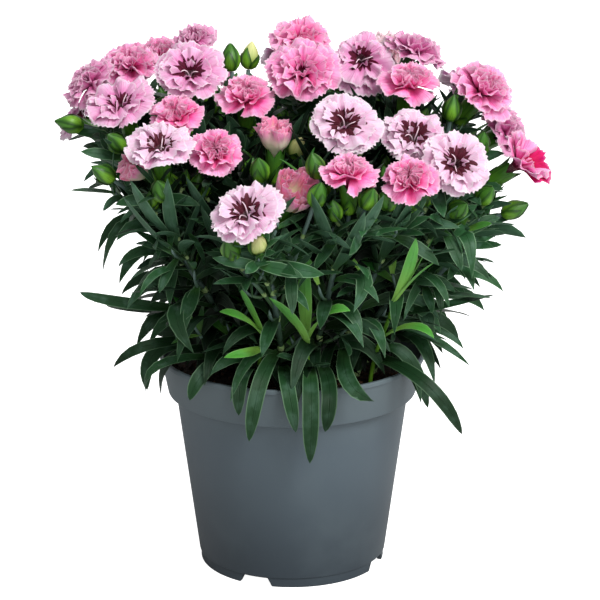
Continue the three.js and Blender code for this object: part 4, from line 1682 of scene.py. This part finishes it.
    def add_side_bud(self, stalk: Curve, azimuth: float) -> None:
        """Adds a closed bud on a short branch of a bloom's stalk, where there is room for it.

        Args:
            stalk: the stalk.
            azimuth: the way that the branch leaves it, in degrees.
        """
        share = self.draws.between(0.45, 0.7)
        start, along = stalk.point(share), stalk.tangent(share)
        outward = square_to(heading(azimuth), along)
        foot = start + outward * self.draws.between(8, 13) + UP * self.draws.between(5, 11)
        facing = (UP + outward * self.draws.between(0.2, 0.7)).normalized()
        size = self.draws.between(0.5, 0.85)
        centre = foot + facing * BUD_LENGTH * size / 2
        if not all(self.obstacles.far_from(foot + facing * reach, 4.5) for reach in (0, 6, 11)):
            return
        lift = math.degrees(math.asin(facing.z))
        head = Head(centre, math.degrees(math.atan2(facing.y, facing.x)), lift, Form.BUD, size=size)
        branch = Curve((start, start + (outward + along) * 3.5, foot - facing * 4, foot))
        self.add_twig(branch, ((0, 0), (0.02, 0.8), (1, 0.9)))
        self.add_bud(head, self.draws.between(0, 3))
        self.add_bracts(branch, 0.85, 12)

    def add_leaves(self, node: bpy.types.Object) -> None:
        """Adds the leaves of the main axis, with its side shoots and joints.

        Args:
            node: the stem's node, whose points say which leaves its solid has.
        """
        points = node.data.vertices
        tips = kdtree.KDTree(len(points))
        for i, vertex in enumerate(points):
            tips.insert(vertex.co / MM, i)
        tips.balance()
        leaves = self.foliage.of_solid(tips, self.plan)
        if not self.young:
            leaves += self.foliage.added()
            if self.main.point(1).xy.length < self.middle:
                leaves += self.foliage.rising()
            start = self.draws.between(0, 360)
            for place, share in enumerate(self.tuft_places):
                azimuth = start + self.tuft_turn * place
                self.add_tuft(self.main, share, lerp(*self.tuft_lengths, share), azimuth)
            for level in range(self.foliage.pairs):
                share = lerp(self.foliage.first, self.foliage.last, level / (self.foliage.pairs - 1))
                self.add_collar(self.main, share, self.main_radius)
        for leaf in leaves:
            old = self.young and leaf.curve.controls[-1].z < self.old_below
            leaf.shift = 0.5 if self.young and not old else 0.0
            self.add_leaf(leaf, Wear.OLD if old else Wear.LEAF)

    def add_head(self, number: int) -> None:
        """Adds a head's stalk with its calyx or bud, small leaves, side shoots and side buds.

        Args:
            number: the head's place in the plan.
        """
        head, stalk = self.plan.heads[number], self.stalk(number)
        roll = self.draws.between(0, 2 * math.pi)
        radii = ((0, 0), (0.02, self.side_radius), (1, self.side_radius * 1.1))
        self.build.lay(8, 12, tube(stalk, radii), Wear.STALK, 0.7)
        if head.form is Form.BUD:
            self.add_bud(head, roll)
        else:
            self.add_calyx(head, roll)
        reach = (stalk.point(1) - stalk.point(0)).length
        inmost = math.hypot(head.centre.x, head.centre.y) < self.middle
        for place, size, shortest, filling in self.bract_places:
            if reach > shortest and (inmost or not filling):
                self.add_bracts(stalk, place * self.draws.between(0.9, 1.1), size)
        azimuth = self.draws.between(0, 360)
        for place in self.stalk_tufts:
            self.add_tuft(stalk, place, self.stalk_tuft_length, azimuth + 500 * place)
        if head.form is not Form.BUD:
            for turn in self.side_bud_turns:
                self.add_side_bud(stalk, azimuth + turn)

    def make(self, node: bpy.types.Object, finishes: Finishes) -> None:
        """Builds the piece in place of its node.

        Args:
            node: the node.
            finishes: the materials.
        """
        radius = self.side_radius * 1.1 if self.young else self.main_radius
        radii = ((0, 0), (0.01, radius), (0.99, radius * 0.9), (1, 0))
        self.build.lay(8, 24, tube(self.main, radii), Wear.STALK, self.shade)
        self.add_leaves(node)
        for number in range(len(self.plan.heads)):
            self.add_head(number)
        stalk, leaf = (YOUNG_STALK, YOUNG_LEAF) if self.young else (STALK, LEAF)
        worn = finishes.of(stalk, leaf, CALYX, NODE, BUD_TIP, YOUNG_LEAF, SCALE, LEAF)
        slot = "young_foliage" if self.young else "foliage"
        self.build.finished(f"{self.name}_dressed", worn, slot, self.name)


# ---- Blooms ----


@dataclass(frozen=True)
class Whorl:
    """Petals that leave the throat together."""

    count: int
    reach: float  # length of a petal from the axis, as a share of the bloom's radius
    lift: float  # rise of the petals above the bloom's plane, in degrees
    spread: float  # half the angle that a petal covers round the axis, in degrees
    ruffle: float  # height of its waves
    waves: float  # how many run across a petal
    curl: float  # how far its outer end turns back, in degrees
    columns: int  # faces across a petal; every second one ends in a notch
    own_eye: bool = False  # whether the eye is measured on the petal, and not on the bloom
    throat: float = THROAT_RADIUS  # radius at which its petals leave the calyx
    steep: float = 78.0  # rise of the petals at the throat, in degrees


class Fullness(Enum):
    """Ways that a bloom is filled with whorls."""

    SINGLE = (
        Whorl(5, 1.0, -2, 50, 1.6, 2.2, 14, 26), Whorl(5, 0.87, 12, 49, 1.9, 2.6, 12, 24),
        Whorl(4, 0.7, 30, 42, 1.9, 2.4, 6, 18), Whorl(2, 0.42, 56, 34, 1.2, 2.0, -10, 10, True),
    )
    FULL = (
        Whorl(5, 1.0, -2, 46, 2.0, 2.4, 14, 22), Whorl(5, 0.9, 16, 45, 2.4, 2.8, 12, 20),
        Whorl(5, 0.78, 38, 44, 2.4, 2.8, 4, 18), Whorl(4, 0.6, 58, 48, 2.0, 2.6, -8, 14),
        Whorl(3, 0.46, 74, 60, 1.6, 2.6, -14, 10),
    )
    DOMED = (
        Whorl(6, 1.08, -6, 40, 1.9, 2.4, 16, 20), Whorl(6, 0.98, 18, 40, 2.2, 2.8, 14, 18),
        Whorl(5, 0.9, 42, 48, 2.4, 2.8, 6, 16), Whorl(5, 0.84, 62, 56, 2.4, 3.0, -2, 14),
        Whorl(4, 0.76, 78, 76, 2.2, 3.0, -12, 12),
    )
    CUPPED = (
        Whorl(5, 1.12, -4, 44, 1.8, 1.8, 4, 22), Whorl(5, 0.98, 34, 48, 1.8, 2.0, -4, 20),
        Whorl(5, 0.9, 60, 52, 2.0, 2.6, -20, 18), Whorl(5, 0.82, 70, 60, 2.2, 3.2, -20, 14),
        Whorl(5, 0.72, 80, 80, 2.2, 3.2, -14, 12),
    )
    FLAT = (
        Whorl(6, 1.15, -8, 40, 1.6, 2.2, 16, 20), Whorl(6, 1.05, 8, 40, 1.8, 2.6, 12, 20),
        Whorl(5, 0.92, 36, 46, 2.0, 2.8, 4, 16), Whorl(5, 0.86, 62, 52, 2.0, 2.8, -6, 14),
        Whorl(4, 0.8, 78, 66, 1.8, 2.8, -10, 12),
    )
    BOWL = (
        Whorl(5, 1.12, 26, 46, 1.6, 2.2, 2, 22), Whorl(5, 1.05, 42, 44, 1.8, 2.6, 2, 20),
        Whorl(4, 0.66, 62, 44, 1.6, 2.4, -4, 16), Whorl(2, 0.42, 70, 40, 1.2, 2.0, -8, 10),
    )
    OPENING = (
        Whorl(5, 1.8, 74, 50, 1.1, 1.8, -12, 18, throat=4.4, steep=22),
        Whorl(5, 1.8, 80, 54, 1.5, 2.6, -10, 16, throat=3.4, steep=30),
        Whorl(4, 1.7, 84, 66, 1.8, 3.0, -6, 12, throat=2.4, steep=40),
    )


class Petal:
    """One petal: a claw in the calyx and a fan-shaped limb with a toothed rim."""

    claw_depth = 5.0
    claw_radius = 1.0
    steps = 24
    thickness = 0.13

    def __init__(self, rule: Whorl, reach: float, azimuth: float, draws: Draws) -> None:
        """Draws the petal's own bend and waves.

        Args:
            rule: its whorl.
            reach: its length from the axis.
            azimuth: the turn of its middle, in radians.
            draws: the bloom's draws.
        """
        self.rule = rule
        self.azimuth = azimuth + math.radians(draws.between(-6, 6))
        self.spread = math.radians(rule.spread * draws.between(0.86, 1.1))
        self.phases = [draws.between(0, 2 * math.pi) for _ in range(4)]
        self.ruffle = rule.ruffle * draws.between(0.75, 1.25)
        self.skew = draws.between(-0.9, 0.9)
        self.tone = draws.between(0.4, 0.66)
        self.reach = 1.0 if rule.own_eye else rule.reach * draws.between(0.85, 1.2)
        lift = rule.lift + draws.between(-7, 7)
        length = (reach - rule.throat) * draws.between(0.9, 1.06)
        radius, height = rule.throat, THROAT
        self.spine = []
        for i in range(self.steps + 1):
            share = i / self.steps
            rise = math.radians(lift + (rule.steep - lift) * math.exp(-7 * share) - rule.curl * share ** 2)
            self.spine.append((radius, height, rise))
            radius = max(0.6, radius + math.cos(rise) * length / self.steps)
            height += math.sin(rise) * length / self.steps

    def on_spine(self, share: float) -> tuple[float, float, float]:
        """Finds a place on the limb's middle line.

        Args:
            share: how far along it lies.

        Returns:
            The radius, the height and the rise there.
        """
        place = clamp(share) * self.steps
        i = min(self.steps - 1, int(place))
        low, high = self.spine[i], self.spine[i + 1]
        radius, height, rise = (lerp(a, b, place - i) for a, b in zip(low, high))
        return radius, height, rise

    def wave(self, across: float, limb: float) -> float:
        """Works out the ruffles.

        Args:
            across: place across the petal, from -1 to 1.
            limb: share of the limb.

        Returns:
            Their height there, from about -1.4 to 1.4.
        """
        first, second, third, fourth = self.phases
        wave = 0.75 * math.sin(self.rule.waves * across * math.pi / 1.2 + first + 0.8 * limb)
        wave += 0.4 * math.sin(2.3 * self.rule.waves * across + second)
        wave += 0.34 * math.sin(5.1 * across * self.rule.waves + third + 2 * limb) * limb ** 2
        return wave + 0.2 * math.sin(9 * limb + fourth + 3 * across)

    def shade(self, u: float, v: float) -> float:
        """Tone of the petal, for Build.lay.

        Args:
            u: share of the way round its section.
            v: share of its length.

        Returns:
            The tone, low in its folds for painted shade and high on its crests for painted highlight.
        """
        across, face = fold(u)
        limb = clamp((v - PETAL_CLAW) / (1 - PETAL_CLAW))
        return clamp(self.tone + 0.26 * self.wave(across, limb) * (1 if face >= 0 else -1) * limb ** 0.7)

    def surface(self, u: float, v: float) -> Vector:
        """Rule of the closed petal, for Build.lay.

        Args:
            u: share of the way round its section.
            v: share of its length, claw and limb.

        Returns:
            The point.
        """
        across, face = fold(u)
        limb = clamp((v - PETAL_CLAW) / (1 - PETAL_CLAW))
        if v < PETAL_CLAW:
            share = v / PETAL_CLAW
            radius, rise = lerp(self.claw_radius, self.rule.throat, share), math.pi / 2
            height = lerp(-self.claw_depth, THROAT, share)
        else:
            place = round((across + 1) / 2 * self.rule.columns)
            cut = 0.055 + 0.03 * math.sin(2.7 * place + self.phases[2]) if place % 2 else 0.0
            rim = 1 - 0.15 * abs(across) ** 4 + 0.035 * math.sin(5 * across + self.phases[3])
            rim -= cut * limb ** 6
            radius, height, rise = self.on_spine(limb * rim)
        lifted = self.ruffle * limb ** 1.3 * self.wave(across, limb) + (0.9 + self.skew) * across * limb
        lifted += self.thickness * face * (1 - abs(2 * v - 1) ** 10)
        turn = self.azimuth + self.spread * across * lerp(0.75, 1, limb)
        return polar(max(0.2, radius - math.sin(rise) * lifted), turn, height + math.cos(rise) * lifted)


@dataclass
class Bloom:
    """The petals and styles of one bloom, in place of its solid."""

    head: Head
    number: int
    accents: bool = False  # whether the petals on one side are crimson
    accent_way: tuple[float, float] = (48, -28)  # azimuth and elevation of that side, in degrees
    accent_within: float = 0.6  # how near a petal points to it, as a cosine
    lip: float = 0.0  # how much longer its lowest petal is, as a share
    rows: int = 8
    style_length: float = 7.5

    @property
    def fullness(self) -> Fullness:
        """How the bloom is filled.

        Returns:
            The set of whorls that goes with its form and finish.
        """
        if self.head.form is Form.OPENING:
            return Fullness.OPENING
        if self.accents:
            return Fullness.BOWL
        if self.head.form is Form.OPEN:
            return Fullness.SINGLE if self.head.tint in (Tint.PALE, Tint.BLUSH) else Fullness.FULL
        doubles = {Tint.ROSE: Fullness.CUPPED, Tint.MAUVE: Fullness.FLAT}
        return doubles.get(self.head.tint, Fullness.DOMED)

    def add_style(self, build: Build, azimuth: float, draws: Draws) -> None:
        """Adds a curled white style.

        Args:
            build: the mesh to add to.
            azimuth: the way that it leans, in radians.
            draws: the bloom's draws.
        """
        turn, mouth = self.head.turn, self.head.mouth
        lean, length = draws.between(2, 3.5), self.style_length
        points = (
            polar(0.4, azimuth, 0), polar(0.6, azimuth, 0.6 * length),
            polar(lean, azimuth, length), polar(lean + 2.4, azimuth + 0.5, 0.9 * length),
        )
        curve = Curve(tuple(mouth + turn @ point for point in points))
        radii = ((0, 0), (0.05, 0.36), (0.9, 0.24), (1, 0))
        build.lay(5, 10, tube(curve, radii, turn @ Vector((0, 1, 0.1))), PetalWear.STYLE)

    def make(self, finishes: Finishes) -> None:
        """Builds the piece in place of its node.

        Args:
            finishes: the materials.
        """
        head, build = self.head, Build()
        name = f"bloom_{self.number:02d}"
        draws = Draws(SEED + self.number)
        roll = draws.one() * 2 * math.pi
        turn, mouth = head.turn, head.mouth
        for level, rule in enumerate(self.fullness.value):
            for i in range(rule.count):
                azimuth = roll + 2 * math.pi * (i + 0.5 * level) / rule.count
                outward = turn @ polar(1, azimuth, 0)
                hang = self.lip * smooth(0.2, 0.9, -outward.z)
                petal = Petal(rule, head.radius * rule.reach * (1 + hang), azimuth, draws)
                aside = outward.dot(heading(*self.accent_way)) > self.accent_within
                finish = PetalWear.ACCENT if self.accents and level < 2 and aside else PetalWear.PETAL
                build.lay(2 * rule.columns, self.rows, lambda u, v: mouth + turn @ petal.surface(u, v),
                          finish, petal.shade, petal.reach)
        if self.fullness is Fullness.SINGLE:
            for azimuth in (roll, roll + 2.4):
                self.add_style(build, azimuth, draws)
        slot = f"petals_{head.form.name.lower()}"
        worn = finishes.of(head.tint.value, STYLE, Tint.CRIMSON.value)
        build.finished(f"{name}_petals", worn if self.accents else worn[:2], slot, name)


# ---- Pot and growing medium ----


@dataclass
class Pot:
    """Round moulded pot with a stepped rim band, a drained floor and notches in its foot."""

    segments: int = 120
    height: float = 107
    rim_radius: float = 65
    lip_height: float = 2.3
    band_top_radius: float = 64.3
    band_foot_radius: float = 60.8
    band_foot: float = 87.3
    body_top_radius: float = 57.1
    body_foot_radius: float = 46.2
    foot_height: float = 4.9
    foot_radius: float = 45.5
    foot_inner_radius: float = 43.2
    floor_under: float = 4
    floor_top: float = 5.6
    wall: float = 1.5
    rim_wall: float = 1.8
    round_radius: float = 0.5
    notch_azimuths: tuple[float, ...] = (67, 157, 247, 337)
    notch_height: float = 4.3
    notch_reach: float = 4
    notch_top_width: float = 12.5
    notch_foot_width: float = 17
    drain_holes: int = 4
    drain_radius: float = 4.5
    drain_circle: float = 28
    drain_segments: int = 24

    def band_inside(self, height: float) -> float:
        """Inner radius above the ledge where the band steps out."""
        share = (height - self.band_foot) / (self.height - self.band_foot)
        return lerp(self.band_foot_radius - self.wall, self.rim_radius - self.rim_wall, share)

    def outline(self) -> list[Vector]:
        """Works out the section's corners.

        Returns:
            Distance from the axis and height, from the underside's middle round to the floor's.
        """
        ledge = self.band_foot + self.wall
        lip = self.height - self.lip_height
        corners = (
            (0, self.floor_under), (self.foot_inner_radius, self.floor_under), (self.foot_inner_radius, 0),
            (self.foot_radius, 0), (self.foot_radius, self.foot_height),
            (self.body_foot_radius, self.foot_height), (self.body_top_radius, self.band_foot),
            (self.band_foot_radius, self.band_foot), (self.band_top_radius, lip), (self.rim_radius, lip),
            (self.rim_radius, self.height), (self.band_inside(self.height), self.height),
            (self.band_inside(ledge), ledge), (self.body_top_radius - self.wall, ledge),
            (self.body_foot_radius - self.wall, self.floor_top), (0, self.floor_top),
        )
        return [Vector(corner) for corner in corners]

    def rounded(self, steps: int = 3) -> list[Vector]:
        """Rounds the corners of the section.

        Args:
            steps: faces round each corner.

        Returns:
            The section's points.
        """
        corners = self.outline()
        points = [corners[0]]
        for before, corner, after in zip(corners, corners[1:], corners[2:]):
            reach = min(self.round_radius, (before - corner).length * 0.4, (after - corner).length * 0.4)
            start = corner + (before - corner).normalized() * reach
            end = corner + (after - corner).normalized() * reach
            for i in range(steps + 1):
                share = i / steps
                points.append(start.lerp(corner, share).lerp(corner.lerp(end, share), share))
        return points + [corners[-1]]

    def cutters(self) -> bpy.types.Object:
        """Builds the shapes that the notches and drain holes are cut by.

        Returns:
            One object with all of them.
        """
        mesh = bmesh.new()
        for azimuth in self.notch_azimuths:
            turn = Matrix.Rotation(math.radians(azimuth), 4, "Z")
            place = Matrix.Translation((self.foot_radius, 0, 0))
            notch = bmesh.ops.create_cube(mesh, size=2)["verts"]
            for vertex in notch:
                width = lerp(self.notch_foot_width, self.notch_top_width, vertex.co.z)
                vertex.co.x *= self.notch_reach
                vertex.co.y *= width / 2
                vertex.co.z *= self.notch_height
            bmesh.ops.transform(mesh, matrix=Matrix.Scale(MM, 4) @ turn @ place, verts=notch)
        for i in range(self.drain_holes):
            place = polar(self.drain_circle, 2 * math.pi * i / self.drain_holes, self.floor_top)
            bmesh.ops.create_cone(
                mesh, cap_ends=True, segments=self.drain_segments, radius1=self.drain_radius,
                radius2=self.drain_radius, depth=2 * self.floor_top,
                matrix=Matrix.Scale(MM, 4) @ Matrix.Translation(place),
            )
        data = bpy.data.meshes.new("cutters")
        mesh.to_mesh(data)
        mesh.free()
        cutter = bpy.data.objects.new("cutters", data)
        bpy.context.scene.collection.objects.link(cutter)
        return cutter

    def make(self, finishes: Finishes) -> None:
        """Builds the piece in place of its node.

        Args:
            finishes: the materials.
        """
        section = self.rounded()
        build = Build()

        def surface(u: float, v: float) -> Vector:
            """Rule of the turned section."""
            point = section[round(v * (len(section) - 1))]
            return polar(point.x, 2 * math.pi * u, point.y)
        build.lay(self.segments, len(section) - 1, surface)
        piece = build.finished("nursery_pot", finishes.of(PotFinish()), "pot_plastic", "pot")
        cutter = self.cutters()
        cut = piece.modifiers.new("cut", "BOOLEAN")
        cut.object, cut.operation, cut.solver = cutter, "DIFFERENCE", "EXACT"
        whole = piece.evaluated_get(bpy.context.evaluated_depsgraph_get())
        piece.data = bpy.data.meshes.new_from_object(whole)
        piece.modifiers.clear()
        bpy.data.objects.remove(cutter)


@dataclass
class Medium:
    """Peat that fills the pot, with a crumbly crowned top."""

    pot: Pot
    edge: float = 97
    crown: float = 101
    gap: float = 0.3
    relief: float = 1.1
    crumbs: int = 420
    rings: int = 26
    segments: int = 96

    def top(self, radius: float, turn: float) -> float:
        """Works out the peat's crumbly surface.

        Args:
            radius: distance from the pot's axis.
            turn: turn round it, in radians.

        Returns:
            The height there.
        """
        outer = self.pot.band_inside(self.edge) - self.gap
        place = polar(radius, turn, 0)
        rough = noise.fractal(place / 9, 1.0, 2.0, 3) * self.relief
        return lerp(self.crown, self.edge, radius / outer) + rough * clamp((outer - radius) / 3)

    def make(self, finishes: Finishes) -> None:
        """Builds the piece in place of its node.

        Args:
            finishes: the materials.
        """
        pot, build, draws, rings = self.pot, Build(), Draws(SEED), self.rings
        ledge = pot.band_foot + pot.wall + self.gap
        base = pot.floor_top + self.gap
        outer = pot.band_inside(self.edge) - self.gap
        inner = pot.body_top_radius - pot.wall - self.gap
        below = (
            (pot.band_inside(ledge) - self.gap, ledge), (inner, ledge),
            (pot.body_foot_radius - pot.wall - self.gap, base), (0, base),
        )

        def surface(u: float, v: float) -> Vector:
            """Rule of the plug, from its crown out to its edge and down to its base."""
            turn, ring = 2 * math.pi * u, round(v * (rings + len(below)))
            if ring <= rings:
                radius = outer * ring / rings
                return polar(radius, turn, self.top(radius, turn))
            radius, height = below[ring - rings - 1]
            return polar(radius, turn, height)
        build.lay(self.segments, rings + len(below), surface, 0, 0.3)
        for _ in range(self.crumbs):
            radius, turn = (outer - 3) * math.sqrt(draws.one()), draws.between(0, 2 * math.pi)
            size = Vector((draws.between(0.7, 2.2), draws.between(0.6, 1.6), draws.between(0.4, 1.2)))
            place = polar(radius, turn, self.top(radius, turn) + 0.2)
            tumbled = Quaternion(heading(draws.between(0, 360), 50), draws.between(0, 3))
            build.add_crumb(place, size, tumbled, draws.one())
        build.finished("peat_fill", finishes.of(PeatFinish()), "peat", "growing_medium")


# ---- Studio ----


@dataclass(frozen=True)
class Softbox:
    """A square soft light: its place and size in metres, and its power in watts."""

    place: Place
    size: float
    power: float


@dataclass
class Studio:
    """Pale floor, soft lights and the camera. Places are in metres and angles in degrees."""

    camera_place: Place = (0.0039, -1.2, 0.4884)
    camera_pitch: float = 73.46
    lens: float = 154.1
    sensor_width: float = 36
    floor_size: float = 6.0
    world: float = 0.34
    sun_place: Place = (0.5, -0.75, 1.0)
    sun_power: float = 2.7
    sun_angle: float = 24
    softboxes: tuple[Softbox, ...] = (
        Softbox((1.3, -0.8, 0.7), 0.9, 6.0), Softbox((0.0, 1.3, 1.1), 1.2, 9.0),
        Softbox((0.35, -1.5, 0.75), 0.8, 6.0),
    )
    target: Place = (0, 0, 0.15)

    def add(self, name: str, data: bpy.types.ID | None) -> bpy.types.Object:
        """Adds an object to the scene.

        Args:
            name: its name.
            data: its mesh, light or camera.

        Returns:
            The object.
        """
        thing = bpy.data.objects.new(name, data)
        bpy.context.scene.collection.objects.link(thing)
        return thing

    def add_floor(self, finishes: Finishes) -> None:
        """Adds the floor, which isn't part of the object.

        Args:
            finishes: the materials.
        """
        mesh = bmesh.new()
        bmesh.ops.create_grid(mesh, x_segments=1, y_segments=1, size=self.floor_size / 2)
        data = bpy.data.meshes.new("floor")
        mesh.to_mesh(data)
        mesh.free()
        data.materials.append(finishes.of(FloorFinish())[0])
        self.add("floor", data)

    def add_lights(self) -> None:
        """Adds the soft boxes, the panel overhead and the even light of the room."""
        for i, box in enumerate(self.softboxes):
            lamp = bpy.data.lights.new(f"softbox_{i}", "AREA")
            lamp.shape, lamp.size, lamp.energy = "SQUARE", box.size, box.power
            holder = self.add(f"softbox_{i}", lamp)
            holder.location = box.place
            way = Vector(self.target) - Vector(box.place)
            holder.rotation_euler = way.to_track_quat("-Z", "Y").to_euler()
        sun = bpy.data.lights.new("sky_panel", "SUN")
        sun.energy, sun.angle = self.sun_power, math.radians(self.sun_angle)
        holder = self.add("sky_panel", sun)
        holder.rotation_euler = (-Vector(self.sun_place)).to_track_quat("-Z", "Y").to_euler()
        world = bpy.data.worlds.new("studio")
        world.use_nodes = True
        background = world.node_tree.nodes["Background"]
        background.inputs["Color"].default_value = (1, 1, 1, 1)
        background.inputs["Strength"].default_value = self.world
        bpy.context.scene.world = world

    def add_camera(self) -> None:
        """Adds the camera and makes it the scene's own."""
        view = bpy.data.cameras.new("camera")
        view.lens, view.sensor_width = self.lens, self.sensor_width
        camera = self.add("camera", view)
        camera.location = self.camera_place
        camera.rotation_euler = (math.radians(self.camera_pitch), 0, 0)
        bpy.context.scene.camera = camera

    def make(self, finishes: Finishes) -> None:
        """Builds the floor, the lights, the world and the camera.

        Args:
            finishes: the materials.
        """
        self.add_floor(finishes)
        self.add_lights()
        self.add_camera()
        bpy.context.scene.view_settings.view_transform = "Standard"


# ---- The plant ----


def main() -> None:
    """Builds every piece round the frame."""
    logging.basicConfig(level=logging.INFO, format="%(name)s %(message)s")
    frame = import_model()
    finishes = Finishes()
    Studio().make(finishes)
    pot = Pot()
    pot.make(finishes)
    Medium(pot).make(finishes)
    obstacles = Obstacles(frame["nodes"])
    named = [(f"stem_{i + 1:02d}", plan) for i, plan in enumerate(STEMS)]
    named += [(f"shoot_{i + 1:02d}", plan) for i, plan in enumerate(SHOOTS)]
    stems = [Stem(plan, name, index, obstacles) for index, (name, plan) in enumerate(named)]
    for stem in stems:
        if stem.in_front:
            obstacles.keep_shown(stem.main)
    for stem in stems:
        stem.make(frame["nodes"][stem.name], finishes)
    blooms = [head for plan in STEMS for head in plan.heads if head.form is not Form.BUD]
    for number, head in enumerate(blooms, 1):
        lip = LIP if number == LIPPED_BLOOM else 0.0
        Bloom(head, number, accents=number == CRIMSON_BLOOM, lip=lip).make(finishes)
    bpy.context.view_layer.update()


if __name__ == "__main__":
    main()
